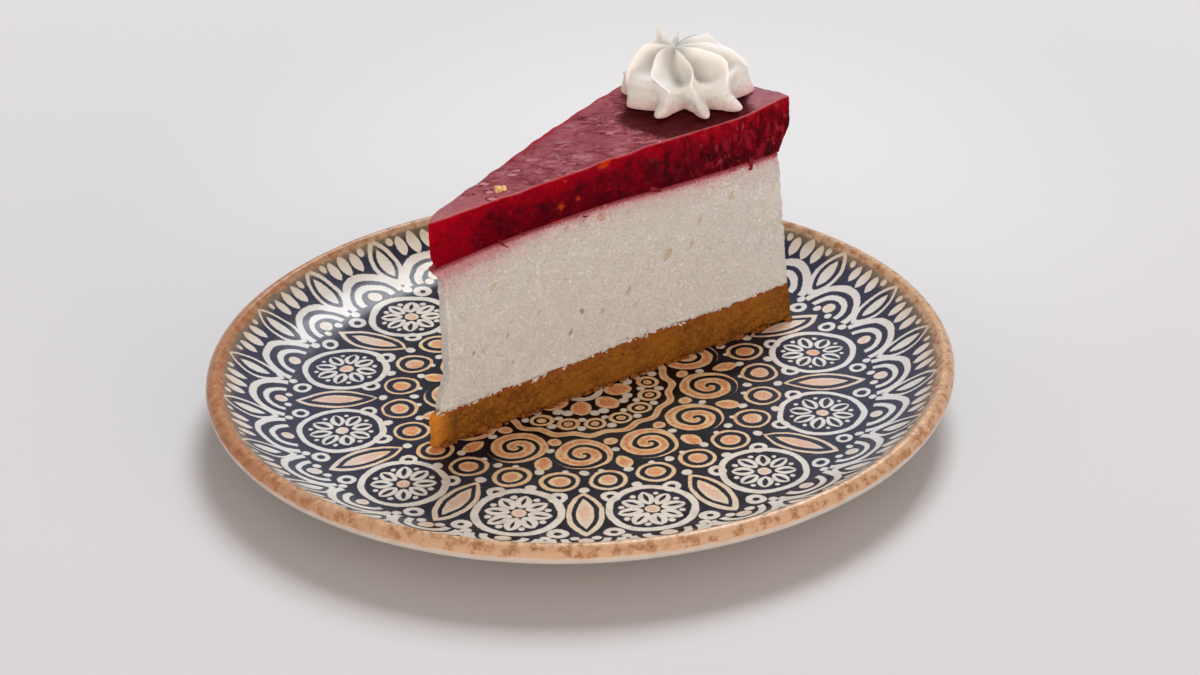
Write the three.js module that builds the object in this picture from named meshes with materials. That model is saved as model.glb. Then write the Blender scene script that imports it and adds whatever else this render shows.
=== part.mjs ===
// A wedge of berry cheesecake with a piped cream rosette, lying on a round coupe plate.
// All sizes are in millimetres. +Z is up, the table is z = 0, and the plate's centre is x = y = 0.
// The photo was taken looking along +Y, so +X is to the right in the photo.
import * as THREE from 'three';

const gap = 0.3; // clearance between two pieces that touch

// Plate sizes
const plateRadius = 105;
const plateHeight = 19;
const wellHeight = 8; // upper surface of the flat middle
const wellRadius = 76; // where the flat middle ends and the wall begins to rise
const crestRadius = 101.8; // highest circle of the rounded lip
const lipThickness = 6;
const footOuterRadius = 63;
const footInnerRadius = 57;
const recessHeight = 2.4; // underside of the middle, inside the foot ring
const footWallHeight = 3.2; // height at which the underside leaves the foot ring
const lipUnderside = 13.35; // height at which the underside meets the lip
const plateSegments = 64;

// Slice sizes
// The slice is drawn in its own plan: u runs from the tip along the near cut, v to its left.
const sliceTip = { x: -40.4, y: -30.6 };
const sliceTurn = (34.25 * Math.PI) / 180;
const cutLength = 124; // tip to the cake's outer side, along the near cut
const tipAngle = (22.5 * Math.PI) / 180; // one sixteenth of the whole cake
const farCutStart = 1.9; // v of the far cut's line at u = 0, as the tip is blunt
const farCutDent = { at: 98, depth: 1.6, width: 22 }; // shallow hollow along the far cut
const backBulge = 0.9; // how far the outer side curves beyond its chord
const restHeight = wellHeight + gap;

// Heights above the slice's underside, at even stations along the cut from the tip to the back.
const baseTopHeights = [10.3, 10.7, 10.9, 11.5, 11.7, 11.4, 12.2];
const fillingTopHeights = [53.9, 55.3, 56.0, 56.0, 54.9, 54.1, 54.0];
const jellyTopHeights = [68.3, 68.7, 69.0, 69.5, 69.6, 69.0, 69.3];
const jellyRimRise = 1.6; // the set jelly climbs where it met the tin, at the near back corner
const jellyRimReach = 10;
const jellyRipple = 0.22; // half height of the shallow dents in the jelly's surface

// Cream sizes
// The rosette's ridges, anticlockwise from the right. foot, waist, brow and top are a ridge's
// directions in degrees: at the jelly, 9 mm up, where it turns in, and at its inner end. reach, body
// and browReach are how far out it lies there, and tall is its brow's height as a share of the usual
// one. finger is how far the rounded toe of its foot stands out, and wisp how far a peak rises at the
// share wispAt of its section. wispWidth is the peak's width and crease the place of the hollow that
// follows, both as shares of the way to the next ridge. root and belly are the hollow's radii low
// down and higher up, and shelf is the height at which it turns in.
const creamCentre = { x: 33.2, y: 45.4 };
const creamClear = 22; // the jelly is smooth this far from the rosette's axis
const creamHeight = 14.8; // at the axis
const topShift = { x: -2.9, y: 0.3 }; // how far the top was drawn aside with the nozzle
// a toe grows between the heights from and to, and fades between fullHeight and height
const toe = { height: 5.4, fullHeight: 1.6, halfWidth: 1.9, from: -1.4, to: 1.8 };
const toeSpoon = { depth: 0.6, halfWidth: 1.1, height: 3.6, spread: 1.6 }; // hollow in the end of a toe
const lip = { rise: 0.6, halfWidth: 0.5 }; // the thin edge that the nozzle left along each ridge
const ridges = [
  {
    foot: -1, waist: 0, brow: -3, top: -8, reach: 19.1, body: 17,
    browReach: 13.4, tall: 0.88, finger: 0, wisp: 0.3, wispAt: 0.85, wispWidth: 0.06,
    crease: 0.5, root: 13, belly: 13.6, shelf: 8.6,
  },
  {
    foot: 30, waist: 34, brow: 46, top: 44, reach: 17.6, body: 16.4,
    browReach: 12.4, tall: 0.82, finger: 0, wisp: 1.6, wispAt: 0.78, wispWidth: 0.07,
    crease: 0.5, root: 12.6, belly: 12.6, shelf: 8.6,
  },
  {
    foot: 66, waist: 68, brow: 68, top: 60, reach: 17.2, body: 16,
    browReach: 12.6, tall: 0.79, finger: 0, wisp: 1.2, wispAt: 0.8, wispWidth: 0.07,
    crease: 0.5, root: 12.4, belly: 12.6, shelf: 8.6,
  },
  {
    foot: 102, waist: 104, brow: 104, top: 84, reach: 17.6, body: 16.2,
    browReach: 12.6, tall: 0.82, finger: 0, wisp: 2.2, wispAt: 0.88, wispWidth: 0.09,
    crease: 0.5, root: 12.8, belly: 12.8, shelf: 8.6,
  },
  {
    foot: 138, waist: 137, brow: 132, top: 134, reach: 18.2, body: 16.8,
    browReach: 12.2, tall: 0.86, finger: 0, wisp: 3.6, wispAt: 0.8, wispWidth: 0.2,
    crease: 0.5, root: 13.4, belly: 13.6, shelf: 8.2,
  },
  {
    foot: 173, waist: 174, brow: 176, top: 176, reach: 18.7, body: 17.6,
    browReach: 12.6, tall: 0.66, finger: 0, wisp: 0, wispAt: 0.85, wispWidth: 0.06,
    crease: 0.5, root: 15, belly: 14.6, shelf: 7.2,
  },
  {
    foot: 207, waist: 206, brow: 203, top: 188, reach: 19.2, body: 18.9,
    browReach: 16.4, tall: 0.93, finger: 0, wisp: 0, wispAt: 0.85, wispWidth: 0.06,
    crease: 0.7, root: 14.8, belly: 15.2, shelf: 9.4,
  },
  {
    foot: 244, waist: 248, brow: 231, top: 224, reach: 16.4, body: 15.4,
    browReach: 16, tall: 0.81, finger: 4.8, wisp: 0, wispAt: 0.85, wispWidth: 0.06,
    crease: 0.5, root: 10.4, belly: 13, shelf: 7.8,
  },
  {
    foot: 284, waist: 273, brow: 275, top: 268, reach: 15.2, body: 13.9,
    browReach: 14.3, tall: 0.95, finger: 5, wisp: 0, wispAt: 0.85, wispWidth: 0.06,
    crease: 0.38, root: 11.8, belly: 12, shelf: 8.4,
  },
  {
    foot: 316, waist: 314, brow: 316, top: 304, reach: 16.8, body: 15.8,
    browReach: 15, tall: 1, finger: 4, wisp: 0, wispAt: 0.85, wispWidth: 0.06,
    crease: 0.42, root: 13.4, belly: 14, shelf: 9,
  },
];

const lerp = (a, b, t) => a + (b - a) * t;
const clamp = (x, low, high) => Math.min(high, Math.max(low, x));
const smooth = (low, high, x) => {
  const t = clamp((x - low) / (high - low), 0, 1);
  return t * t * (3 - 2 * t);
};

// Value on a smooth curve through evenly spaced values, for t from 0 to 1.
function curveValue(values, t) {
  const last = values.length - 1;
  const place = clamp(t, 0, 1) * last;
  const i = Math.min(last - 1, Math.floor(place));
  const f = place - i;
  const before = values[Math.max(0, i - 1)];
  const after = values[Math.min(last, i + 2)];
  const a = values[i];
  const b = values[i + 1];
  const slopeA = (b - before) / 2;
  const slopeB = (after - a) / 2;
  const f2 = f * f;
  const f3 = f2 * f;
  return (2 * f3 - 3 * f2 + 1) * a + (f3 - 2 * f2 + f) * slopeA + (3 * f2 - 2 * f3) * b + (f3 - f2) * slopeB;
}

// Repeatable unevenness between -1 and 1, of about the given wavelength.
function unevenness(x, y, z, wavelength) {
  const k = (2 * Math.PI) / wavelength;
  return (
    Math.sin(k * (x * 0.91 + y * 0.37 + z * 0.29) + 1.3) * 0.4 +
    Math.sin(k * (x * -0.48 + y * 1.07 + z * 0.53) * 1.31 + 4.1) * 0.35 +
    Math.sin(k * (x * 0.33 - y * 0.71 + z * 1.23) * 1.73 + 2.2) * 0.25
  );
}

// A closed solid from rings of points. The first and last ring are single points. Each ring
// runs anticlockwise seen from above, and the rings go from below, round the outside, to the top.
function ringSolid(rings) {
  const positions = [];
  const starts = [];
  for (const ring of rings) {
    starts.push(positions.length / 3);
    for (const point of ring) {
      positions.push(point[0], point[1], point[2]);
    }
  }
  const faces = [];
  for (let i = 0; i + 1 < rings.length; i += 1) {
    const lower = rings[i];
    const upper = rings[i + 1];
    const count = Math.max(lower.length, upper.length);
    for (let k = 0; k < count; k += 1) {
      const next = (k + 1) % count;
      const a = starts[i] + (lower.length === 1 ? 0 : k);
      const b = starts[i] + (lower.length === 1 ? 0 : next);
      const c = starts[i + 1] + (upper.length === 1 ? 0 : next);
      const d = starts[i + 1] + (upper.length === 1 ? 0 : k);
      if (a !== b) {
        faces.push(a, b, c);
      }
      if (c !== d) {
        faces.push(a, c, d);
      }
    }
  }
  const geometry = new THREE.BufferGeometry();
  geometry.setAttribute('position', new THREE.Float32BufferAttribute(positions, 3));
  geometry.setIndex(faces);
  geometry.computeVertexNormals();
  return geometry;
}

function named(name, geometry, color, roughness) {
  const material = new THREE.MeshStandardMaterial({ color, roughness });
  const mesh = new THREE.Mesh(geometry, material);
  mesh.name = name;
  return mesh;
}

// The plate

// Upper surface of the plate at a radius inside the lip.
function plateTop(radius) {
  const t = clamp((radius - wellRadius) / (crestRadius - wellRadius), 0, 1);
  return wellHeight + (plateHeight - wellHeight) * t ** 2;
}

function plateProfile() {
  const profile = [[0, recessHeight]];
  for (const radius of [20, 40, footInnerRadius - 2.2]) {
    profile.push([radius, recessHeight]);
  }
  profile.push([footInnerRadius - 0.8, 0.5]);
  profile.push([footInnerRadius, 0]);
  profile.push([footOuterRadius, 0]);
  profile.push([footOuterRadius + 0.9, 0.6]);
  profile.push([footOuterRadius + 1.8, footWallHeight - 0.5]);
  // the underside climbs to the lip, steeper towards the outside
  for (const t of [0.2, 0.4, 0.58, 0.74, 0.88, 1]) {
    const radius = lerp(footOuterRadius + 3, plateRadius - 2, t);
    profile.push([radius, lerp(footWallHeight, lipUnderside, t ** 2.2)]);
  }
  // rounded lip: an arc from the outer wall over the crest
  const lipCentreRadius = plateRadius - lipThickness / 2;
  const lipCentreHeight = plateHeight - lipThickness / 2;
  const lipSteps = 8;
  for (let i = 0; i <= lipSteps; i += 1) {
    const angle = lerp(-0.6, Math.PI / 2 + 0.1, i / lipSteps);
    const radius = lipCentreRadius + (lipThickness / 2) * Math.cos(angle);
    profile.push([radius, lipCentreHeight + (lipThickness / 2) * Math.sin(angle)]);
  }
  // the inner wall down to the well
  for (const t of [0.93, 0.84, 0.72, 0.58, 0.42, 0.26, 0.12]) {
    const radius = lerp(wellRadius, crestRadius, t);
    profile.push([radius, plateTop(radius)]);
  }
  profile.push([wellRadius, wellHeight]);
  profile.push([52, wellHeight]);
  profile.push([26, wellHeight]);
  profile.push([0, wellHeight]);
  return profile;
}

function plateSolid() {
  const outline = plateProfile().map(([radius, height]) => new THREE.Vector2(radius, height));
  const geometry = new THREE.LatheGeometry(outline, plateSegments);
  geometry.rotateX(Math.PI / 2);
  return geometry;
}

// The slice's layers

// Shares along a side, closer together near its two ends.
function shares(count) {
  const list = [];
  for (let i = 0; i < count; i += 1) {
    const t = i / count;
    list.push(lerp(t, (1 - Math.cos(Math.PI * t)) / 2, 0.45));
  }
  return list;
}

// How far the far cut lies inside its straight line.
function farCutHollow(u) {
  return farCutDent.depth * Math.exp(-(((u - farCutDent.at) / farCutDent.width) ** 2));
}

// Plan of the slice as points (u, v), anticlockwise from the tip's near corner.
// tip is the u of the blunt tip, slant how far its far corner lies behind the near one,
// and back how much the outer side lies inside the tin's.
function slicePlan(tip, slant, back) {
  const farCutAt = (u) => ({ u, v: farCutStart + Math.tan(tipAngle) * u });
  const near = { u: tip, v: 0 };
  const nearBack = { u: cutLength - back, v: 0 };
  const farBack = farCutAt(cutLength * Math.cos(tipAngle) - back);
  const farTip = farCutAt(tip + slant);
  const sides = [
    { from: near, to: nearBack, count: 32, bulge: () => 0 },
    { from: nearBack, to: farBack, count: 14, bulge: (t) => backBulge * 4 * t * (1 - t) },
    { from: farBack, to: farTip, count: 28, bulge: (t, u) => -farCutHollow(u) },
    { from: farTip, to: near, count: 4, bulge: () => 0 },
  ];
  const plan = [];
  for (const { from, to, count, bulge } of sides) {
    const length = Math.hypot(to.u - from.u, to.v - from.v);
    const outward = { u: (to.v - from.v) / length, v: (from.u - to.u) / length };
    for (const t of shares(count)) {
      const out = bulge(t, lerp(from.u, to.u, t));
      plan.push({
        u: lerp(from.u, to.u, t) + outward.u * out,
        v: lerp(from.v, to.v, t) + outward.v * out,
      });
    }
  }
  return roundedCorners(plan);
}

// Each point moves a little towards its neighbours' middle, which takes off the sharp corners.
function roundedCorners(plan) {
  const count = plan.length;
  return plan.map((point, k) => {
    const before = plan[(k + count - 1) % count];
    const after = plan[(k + 1) % count];
    return {
      u: lerp(point.u, (before.u + after.u) / 2, 0.35),
      v: lerp(point.v, (before.v + after.v) / 2, 0.35),
    };
  });
}

// The plan moved inwards at right angles to its sides.
function movedInwards(plan, distance) {
  const count = plan.length;
  return plan.map((point, k) => {
    const before = plan[(k + count - 1) % count];
    const after = plan[(k + 1) % count];
    const length = Math.hypot(after.u - before.u, after.v - before.v);
    return {
      u: point.u - ((after.v - before.v) / length) * distance,
      v: point.v + ((after.u - before.u) / length) * distance,
    };
  });
}

function shrunk(plan, share) {
  const middle = { u: 0, v: 0 };
  for (const point of plan) {
    middle.u += point.u / plan.length;
    middle.v += point.v / plan.length;
  }
  return plan.map((point) => ({ u: lerp(middle.u, point.u, share), v: lerp(middle.v, point.v, share) }));
}

function toWorld(point, height) {
  const c = Math.cos(sliceTurn);
  const s = Math.sin(sliceTurn);
  const x = sliceTip.x + point.u * c - point.v * s;
  const y = sliceTip.y + point.u * s + point.v * c;
  return [x, y, restHeight + height];
}

function toSlice(x, y) {
  const c = Math.cos(sliceTurn);
  const s = Math.sin(sliceTurn);
  const dx = x - sliceTip.x;
  const dy = y - sliceTip.y;
  return { u: dx * c + dy * s, v: dy * c - dx * s };
}

const baseTop = (point) => curveValue(baseTopHeights, point.u / cutLength);
const fillingTop = (point) => curveValue(fillingTopHeights, point.u / cutLength);

function jellyTop(point) {
  const [x, y] = toWorld(point, 0);
  const fromCream = Math.hypot(x - creamCentre.x, y - creamCentre.y);
  const calm = smooth(creamClear, creamClear + 7, fromCream);
  const ripple = jellyRipple * unevenness(point.u, point.v, 0, 11) * calm;
  const nearBackDistance = Math.hypot(point.u - cutLength, point.v);
  const rise = jellyRimRise * Math.exp(-((nearBackDistance / jellyRimReach) ** 2));
  return curveValue(jellyTopHeights, point.u / cutLength) + rise + ripple;
}

// One layer. planAt(t) gives the plan at a share t of its height, insetAt(t) how far its
// side is drawn in there, and relief the unevenness of the side.
function layerSolid({ levels, planAt, insetAt, bottom, top, relief, wavelength, capShares, topShares }) {
  const rings = [];
  const lowPlan = movedInwards(planAt(0), insetAt(0));
  const middle = shrunk(lowPlan, 0)[0];
  rings.push([toWorld(middle, bottom(middle))]);
  for (const share of capShares) {
    rings.push(shrunk(lowPlan, share).map((point) => toWorld(point, bottom(point))));
  }
  for (const t of levels) {
    const plan = movedInwards(planAt(t), insetAt(t));
    const rough = plan.map((point) => unevenness(point.u, point.v, t * 40, wavelength));
    const outer = plan.map((point, k) => {
      const before = plan[(k + plan.length - 1) % plan.length];
      const after = plan[(k + 1) % plan.length];
      const length = Math.hypot(after.u - before.u, after.v - before.v);
      const out = relief * rough[k] * (t === 0 || t === 1 ? 0.3 : 1);
      return {
        u: point.u + ((after.v - before.v) / length) * out,
        v: point.v - ((after.u - before.u) / length) * out,
      };
    });
    rings.push(outer.map((point) => toWorld(point, lerp(bottom(point), top(point), t))));
  }
  const highPlan = movedInwards(planAt(1), insetAt(1));
  for (const share of topShares) {
    rings.push(shrunk(highPlan, share).map((point) => toWorld(point, top(point))));
  }
  const highMiddle = shrunk(highPlan, 0)[0];
  rings.push([toWorld(highMiddle, top(highMiddle))]);
  return ringSolid(rings);
}

function baseSolid() {
  return layerSolid({
    levels: [0, 0.06, 0.3, 0.55, 0.8, 0.95, 1],
    planAt: (t) => slicePlan(0.1, -0.9, t),
    insetAt: (t) => 0.3 * (smooth(0.08, 0, t) + smooth(0.9, 1, t)),
    bottom: () => 0,
    top: baseTop,
    relief: 0.3,
    wavelength: 9,
    capShares: [0.5],
    topShares: [0.5],
  });
}

function fillingSolid() {
  // the soft tip has worn back between the base and the jelly, and the outer side leans in
  const tipAt = (t) => lerp(lerp(1.8, 1.6, t), 5.9, smooth(0, 0.24, t) * smooth(1.02, 0.86, t));
  return layerSolid({
    levels: [0, 0.03, 0.1, 0.2, 0.34, 0.5, 0.66, 0.8, 0.9, 0.97, 1],
    planAt: (t) => slicePlan(tipAt(t), 0, lerp(1.3, 3.8, t)),
    insetAt: (t) => 0.15 + 0.25 * smooth(0.04, 0, t) + 0.2 * smooth(0.97, 1, t),
    bottom: (point) => baseTop(point) + gap,
    top: fillingTop,
    relief: 0.18,
    wavelength: 7,
    capShares: [0.5],
    topShares: [0.5],
  });
}

function jellySolid() {
  return layerSolid({
    levels: [0, 0.06, 0.16, 0.3, 0.5, 0.75, 0.95, 1],
    // the lower corner of the tip is worn, and the outer side leans in below
    planAt: (t) => slicePlan(1.2 + 1.3 * smooth(0.5, 0, t) ** 2, 4, 3.4 * smooth(0.55, 0, t)),
    insetAt: (t) => 0.4 * smooth(0.14, 0, t) + 0.2 * smooth(0.96, 1, t),
    bottom: (point) => fillingTop(point) + gap,
    top: jellyTop,
    relief: 0.14,
    wavelength: 12,
    capShares: [0.5],
    topShares: [0.97, 0.9, 0.78, 0.6, 0.38, 0.18],
  });
}

// The cream

const creamRows = 25;
const columnShares = [0, 0.08, 0.2, 0.35, 0.5, 0.65, 0.8, 0.92]; // from one ridge to the next
const radians = (degrees) => (degrees * Math.PI) / 180;
// height of a ridge's crest, from the middle of the underside, round the foot, to the top's middle
const ridgeHeights = [0, 0, 0, 0.5, 3, 6, 8.8, 11.4, 13.8, 15.9, 16.8, 16.3, creamHeight];

// Direction, radius and height on the crest of a ridge, at a share t of the way round its section.
function crestPoint(ridge, t) {
  const { foot, waist, brow, top, reach, body, browReach } = ridge;
  const directions = [
    foot, foot, foot, foot, foot, lerp(foot, waist, 0.45), waist, lerp(waist, brow, 0.6), brow,
    lerp(brow, top, 0.22), lerp(brow, top, 0.65), top, top,
  ];
  const radii = [
    0, 0.45 * reach, 0.85 * reach, reach, lerp(reach, body, 0.3), lerp(reach, body, 0.75), body,
    lerp(body, browReach, 0.4), browReach, 0.86 * browReach, 0.6 * browReach, 0.3 * browReach, 0,
  ];
  const lower = lerp(1, ridge.tall, smooth(0.3, 0.55, t) * smooth(0.98, 0.74, t));
  return {
    direction: curveValue(directions, t),
    radius: curveValue(radii, t),
    height: curveValue(ridgeHeights, t) * lower,
  };
}

// Radius and height in the hollow after a ridge.
function hollowPoint({ root, belly, shelf }, t) {
  const radii = [
    0, 0.45 * root, 0.85 * root, root, lerp(root, belly, 0.35), lerp(root, belly, 0.85), 1.03 * belly,
    0.98 * belly, 0.78 * belly, 0.5 * belly, 0.3 * belly, 0.16 * belly, 0,
  ];
  const heights = [
    0, 0, 0, 0.4, 0.3 * shelf, 0.6 * shelf, 0.86 * shelf,
    shelf, shelf - 0.2, shelf - 0.9, shelf, shelf + 2.4, creamHeight,
  ];
  return { radius: curveValue(radii, t), height: curveValue(heights, t) };
}

// A point on the cream, at a share of the way from one ridge to the next.
function creamPoint(index, share, t) {
  const here = ridges[index];
  const next = ridges[(index + 1) % ridges.length];
  const turn = index + 1 === ridges.length ? 360 : 0;
  const crestHere = crestPoint(here, t);
  const crestNext = crestPoint(next, t);
  const widthAngle = radians(crestNext.direction + turn - crestHere.direction);
  const angle = radians(crestHere.direction) + widthAngle * share;
  const crease = lerp(here.crease, lerp(here.crease, 0.5, 0.6), smooth(0.5, 0.75, t));
  const nearHere = share < crease;
  const crest = nearHere ? crestHere : crestNext;
  const hollow = hollowPoint(here, t);
  // a ridge is blunt low down, and above its sides are hollow, so its crest is thin
  const toHollow = nearHere ? share / crease : (1 - share) / (1 - crease);
  const blunt = lerp(0.22, 0.03, smooth(0.4, 0.6, t));
  const fall = (Math.hypot(toHollow, blunt) - blunt) / (Math.hypot(1, blunt) - blunt);
  const weight = (1 - fall) ** lerp(1.4, 3, smooth(0.45, 0.66, t));
  let radius = lerp(hollow.radius, crest.radius, weight);
  let height = lerp(hollow.height, crest.height, weight);
  for (const [ridge, way] of [[here, share], [next, 1 - share]]) {
    const across = way * widthAngle * Math.max(crest.radius, 4);
    const edgePart = smooth(0.42, 0.54, t) * smooth(0.94, 0.84, t);
    const edge = lip.rise * Math.exp(-((across / lip.halfWidth) ** 2)) * edgePart;
    radius += edge;
    height += edge;
    const toeWidth = Math.sqrt(Math.max(0, 1 - (across / toe.halfWidth) ** 2));
    const spoonAcross = Math.exp(-((across / toeSpoon.halfWidth) ** 2));
    const spoonUp = Math.exp(-(((height - toeSpoon.height) / toeSpoon.spread) ** 2));
    const spoon = ridge.finger > 0 ? toeSpoon.depth * spoonAcross * spoonUp : 0;
    const toeRise = smooth(toe.height, toe.fullHeight, height) * smooth(toe.from, toe.to, height);
    radius += (ridge.finger * toeWidth * toeRise - spoon) * smooth(0.19, 0.24, t);
    const alongWisp = Math.abs(t - ridge.wispAt) / (0.5 * ridge.wispWidth);
    height += ridge.wisp * Math.exp(-((way / ridge.wispWidth) ** 1.2)) * Math.exp(-(alongWisp ** 1.4));
  }
  const drawn = smooth(0.68, 0.95, t);
  const x = creamCentre.x + radius * Math.cos(angle) + topShift.x * drawn;
  const y = creamCentre.y + radius * Math.sin(angle) + topShift.y * drawn;
  return [x, y, restHeight + jellyTop(toSlice(x, y)) + gap + Math.max(0, height)];
}

function creamSolid() {
  const rings = [[creamPoint(0, 0, 0)]];
  for (let row = 1; row < creamRows; row += 1) {
    const ring = [];
    ridges.forEach((ridge, index) => {
      for (const share of columnShares) {
        ring.push(creamPoint(index, share, row / creamRows));
      }
    });
    rings.push(ring);
  }
  rings.push([creamPoint(0, 0, 1)]);
  return ringSolid(rings);
}

const cheesecake = new THREE.Group();
cheesecake.name = 'cheesecake_slice_on_plate';
cheesecake.add(named('plate', plateSolid(), 0x8a8784, 0.25));
cheesecake.add(named('biscuit_base', baseSolid(), 0xa06a2c, 0.9));
cheesecake.add(named('cheese_filling', fillingSolid(), 0xe2d8c8, 0.8));
cheesecake.add(named('berry_jelly', jellySolid(), 0x7a0d16, 0.2));
cheesecake.add(named('cream_rosette', creamSolid(), 0xece5dc, 0.6));

export default cheesecake;
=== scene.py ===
import math

import bpy
import numpy as np
from mathutils import Matrix, Vector


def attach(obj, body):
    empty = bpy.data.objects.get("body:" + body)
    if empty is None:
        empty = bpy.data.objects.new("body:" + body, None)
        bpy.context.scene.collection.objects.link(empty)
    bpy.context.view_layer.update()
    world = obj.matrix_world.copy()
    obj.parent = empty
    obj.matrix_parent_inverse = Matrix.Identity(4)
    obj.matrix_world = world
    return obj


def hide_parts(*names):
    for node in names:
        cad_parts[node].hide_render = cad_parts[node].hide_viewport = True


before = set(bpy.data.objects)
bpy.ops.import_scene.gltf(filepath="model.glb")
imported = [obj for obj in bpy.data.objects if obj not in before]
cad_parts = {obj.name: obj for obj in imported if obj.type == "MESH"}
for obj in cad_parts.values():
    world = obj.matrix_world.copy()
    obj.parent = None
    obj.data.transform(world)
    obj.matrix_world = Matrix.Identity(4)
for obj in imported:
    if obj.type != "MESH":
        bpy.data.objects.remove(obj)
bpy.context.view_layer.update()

MM = 0.001
GAP = 0.3  # clearance between two pieces that touch


# Camera: the photo's, worked out from the plate's outline

CAMERA_AT = (0.0, -968.6, 537.8)
CAMERA_DOWN = math.radians(27.909)
CAMERA_PAN = math.radians(0.351)  # towards +X
CAMERA_ROLL = math.radians(-1.912)
SENSOR_WIDTH = 36.0
FOCAL_LENGTH = 117.34


def make_camera():
    ahead = Vector((math.sin(CAMERA_PAN) * math.cos(CAMERA_DOWN),
                    math.cos(CAMERA_PAN) * math.cos(CAMERA_DOWN),
                    -math.sin(CAMERA_DOWN)))
    level = ahead.cross(Vector((0, 0, 1))).normalized()
    upright = level.cross(ahead).normalized()
    right = level * math.cos(CAMERA_ROLL) + upright * math.sin(CAMERA_ROLL)
    up = upright * math.cos(CAMERA_ROLL) - level * math.sin(CAMERA_ROLL)
    data = bpy.data.cameras.new("camera")
    data.sensor_width = SENSOR_WIDTH
    data.lens = FOCAL_LENGTH
    data.clip_start = 0.05
    data.clip_end = 20
    camera = bpy.data.objects.new("camera", data)
    turn = Matrix((right, up, -ahead)).transposed().to_4x4()
    camera.matrix_world = Matrix.Translation(Vector(CAMERA_AT) * MM) @ turn
    bpy.context.scene.collection.objects.link(camera)
    bpy.context.scene.camera = camera


# Numbers

def lerp(a, b, t):
    return a + (b - a) * t


def smooth(low, high, x):
    """0 at low and 1 at high, with a soft start and end. low may be above high."""
    t = np.clip((x - low) / (high - low), 0, 1)
    return t * t * (3 - 2 * t)


def bell(x):
    """1 at 0, and near 0 from 2 on either side."""
    return np.exp(-x ** 2)


def curve_value(values, t):
    """Value on a smooth curve through evenly spaced values, for t from 0 to 1."""
    values = np.asarray(values, dtype=float)
    last = len(values) - 1
    place = np.clip(t, 0, 1) * last
    i = np.minimum(last - 1, np.floor(place)).astype(int)
    f = place - i
    before = values[np.maximum(0, i - 1)]
    after = values[np.minimum(last, i + 2)]
    a = values[i]
    b = values[i + 1]
    slope_a = (b - before) / 2
    slope_b = (after - a) / 2
    f2 = f * f
    f3 = f2 * f
    return ((2 * f3 - 3 * f2 + 1) * a + (f3 - 2 * f2 + f) * slope_a
            + (3 * f2 - 2 * f3) * b + (f3 - f2) * slope_b)


def unevenness(x, y, z, wavelength):
    """The part's own gentle unevenness, between -1 and 1."""
    k = 2 * math.pi / wavelength
    return (
        np.sin(k * (x * 0.91 + y * 0.37 + z * 0.29) + 1.3) * 0.4
        + np.sin(k * (x * -0.48 + y * 1.07 + z * 0.53) * 1.31 + 4.1) * 0.35
        + np.sin(k * (x * 0.33 - y * 0.71 + z * 1.23) * 1.73 + 2.2) * 0.25
    )


def distance_along(line):
    """How far along a line of points each of them lies."""
    steps = np.linalg.norm(np.diff(line, axis=0), axis=1)
    return np.concatenate([[0], np.cumsum(steps)])


# axes for the noise, which lie along none of the object's own directions
NOISE_TURN = Matrix.Rotation(0.61, 3, "X") @ Matrix.Rotation(1.07, 3, "Y") @ Matrix.Rotation(0.43, 3, "Z")
NOISE_AXES = np.array(NOISE_TURN)


def cell_value(cell, seed):
    """A repeatable number from 0 to 1 for each whole-numbered cell."""
    h = cell[..., 0] * 73856093 ^ cell[..., 1] * 19349663 ^ cell[..., 2] * 83492791 ^ (seed * 9781 + 17)
    h = (h ^ (h >> 13)) * 1274126177 & 0xFFFFFFFF
    h = (h ^ (h >> 15)) * 2246822519 & 0xFFFFFFFF
    h = h ^ (h >> 13)
    return (h & 0xFFFFF) / 0xFFFFF


def cells_at(points, size):
    """The cell of that size in which each point lies, and the point's place counted in cells."""
    place = points @ NOISE_AXES / size
    return np.floor(place).astype(np.int64), place


def noise(points, size, seed=0):
    """Smooth noise from -1 to 1 whose lumps are about size across."""
    cell, place = cells_at(points, size)
    f = place - cell
    f = f * f * (3 - 2 * f)
    total = 0
    for corner in np.ndindex(2, 2, 2):
        near = np.where(corner, f, 1 - f)
        weight = near[..., 0] * near[..., 1] * near[..., 2]
        total = total + weight * cell_value(cell + corner, seed)
    return total * 2 - 1


def rough(points, size, octaves, seed=0, falloff=0.5):
    """Noise of several sizes, each half of the one before, from about -1 to 1."""
    shares = [falloff ** k for k in range(octaves)]
    total = sum(share * noise(points, size / 2 ** k, seed + 31 * k) for k, share in enumerate(shares))
    return total / sum(shares)


def nearest_grain(points, spacing, seed=0):
    """Distance to the nearest of scattered points, in spacings, and that point's own number from 0 to 1."""
    cell, place = cells_at(points, spacing)
    best = np.full(place.shape[:-1], 9.0)
    own = np.zeros(place.shape[:-1])
    for offset in np.ndindex(3, 3, 3):
        near = cell + offset - 1
        spot = np.stack([cell_value(near, seed + axis) for axis in (1, 2, 3)], axis=-1)
        gap = np.linalg.norm(near + spot - place, axis=-1)
        closer = gap < best
        best = np.where(closer, gap, best)
        own = np.where(closer, cell_value(near, seed + 4), own)
    return best, own


# Meshes

def make_mesh(name, points, faces, values=None):
    """A smooth mesh from points in millimetres. values gives a number for each point, by name."""
    mesh = bpy.data.meshes.new(name)
    mesh.from_pydata((points * MM).tolist(), [], faces)
    for key, value in (values or {}).items():
        numbers = np.broadcast_to(value, len(points)).astype(np.float32)
        mesh.attributes.new(key, "FLOAT", "POINT").data.foreach_set("value", numbers)
    mesh.update()
    mesh.polygons.foreach_set("use_smooth", [True] * len(mesh.polygons))
    item = bpy.data.objects.new(name, mesh)
    bpy.context.scene.collection.objects.link(item)
    return item


def closed(grid):
    """A grid of rings as one list, its first and last ring each only once, since each is one point."""
    inner = grid[1:-1].reshape((-1,) + grid.shape[2:])
    return np.concatenate([grid[0, :1], inner, grid[-1, :1]])


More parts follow.
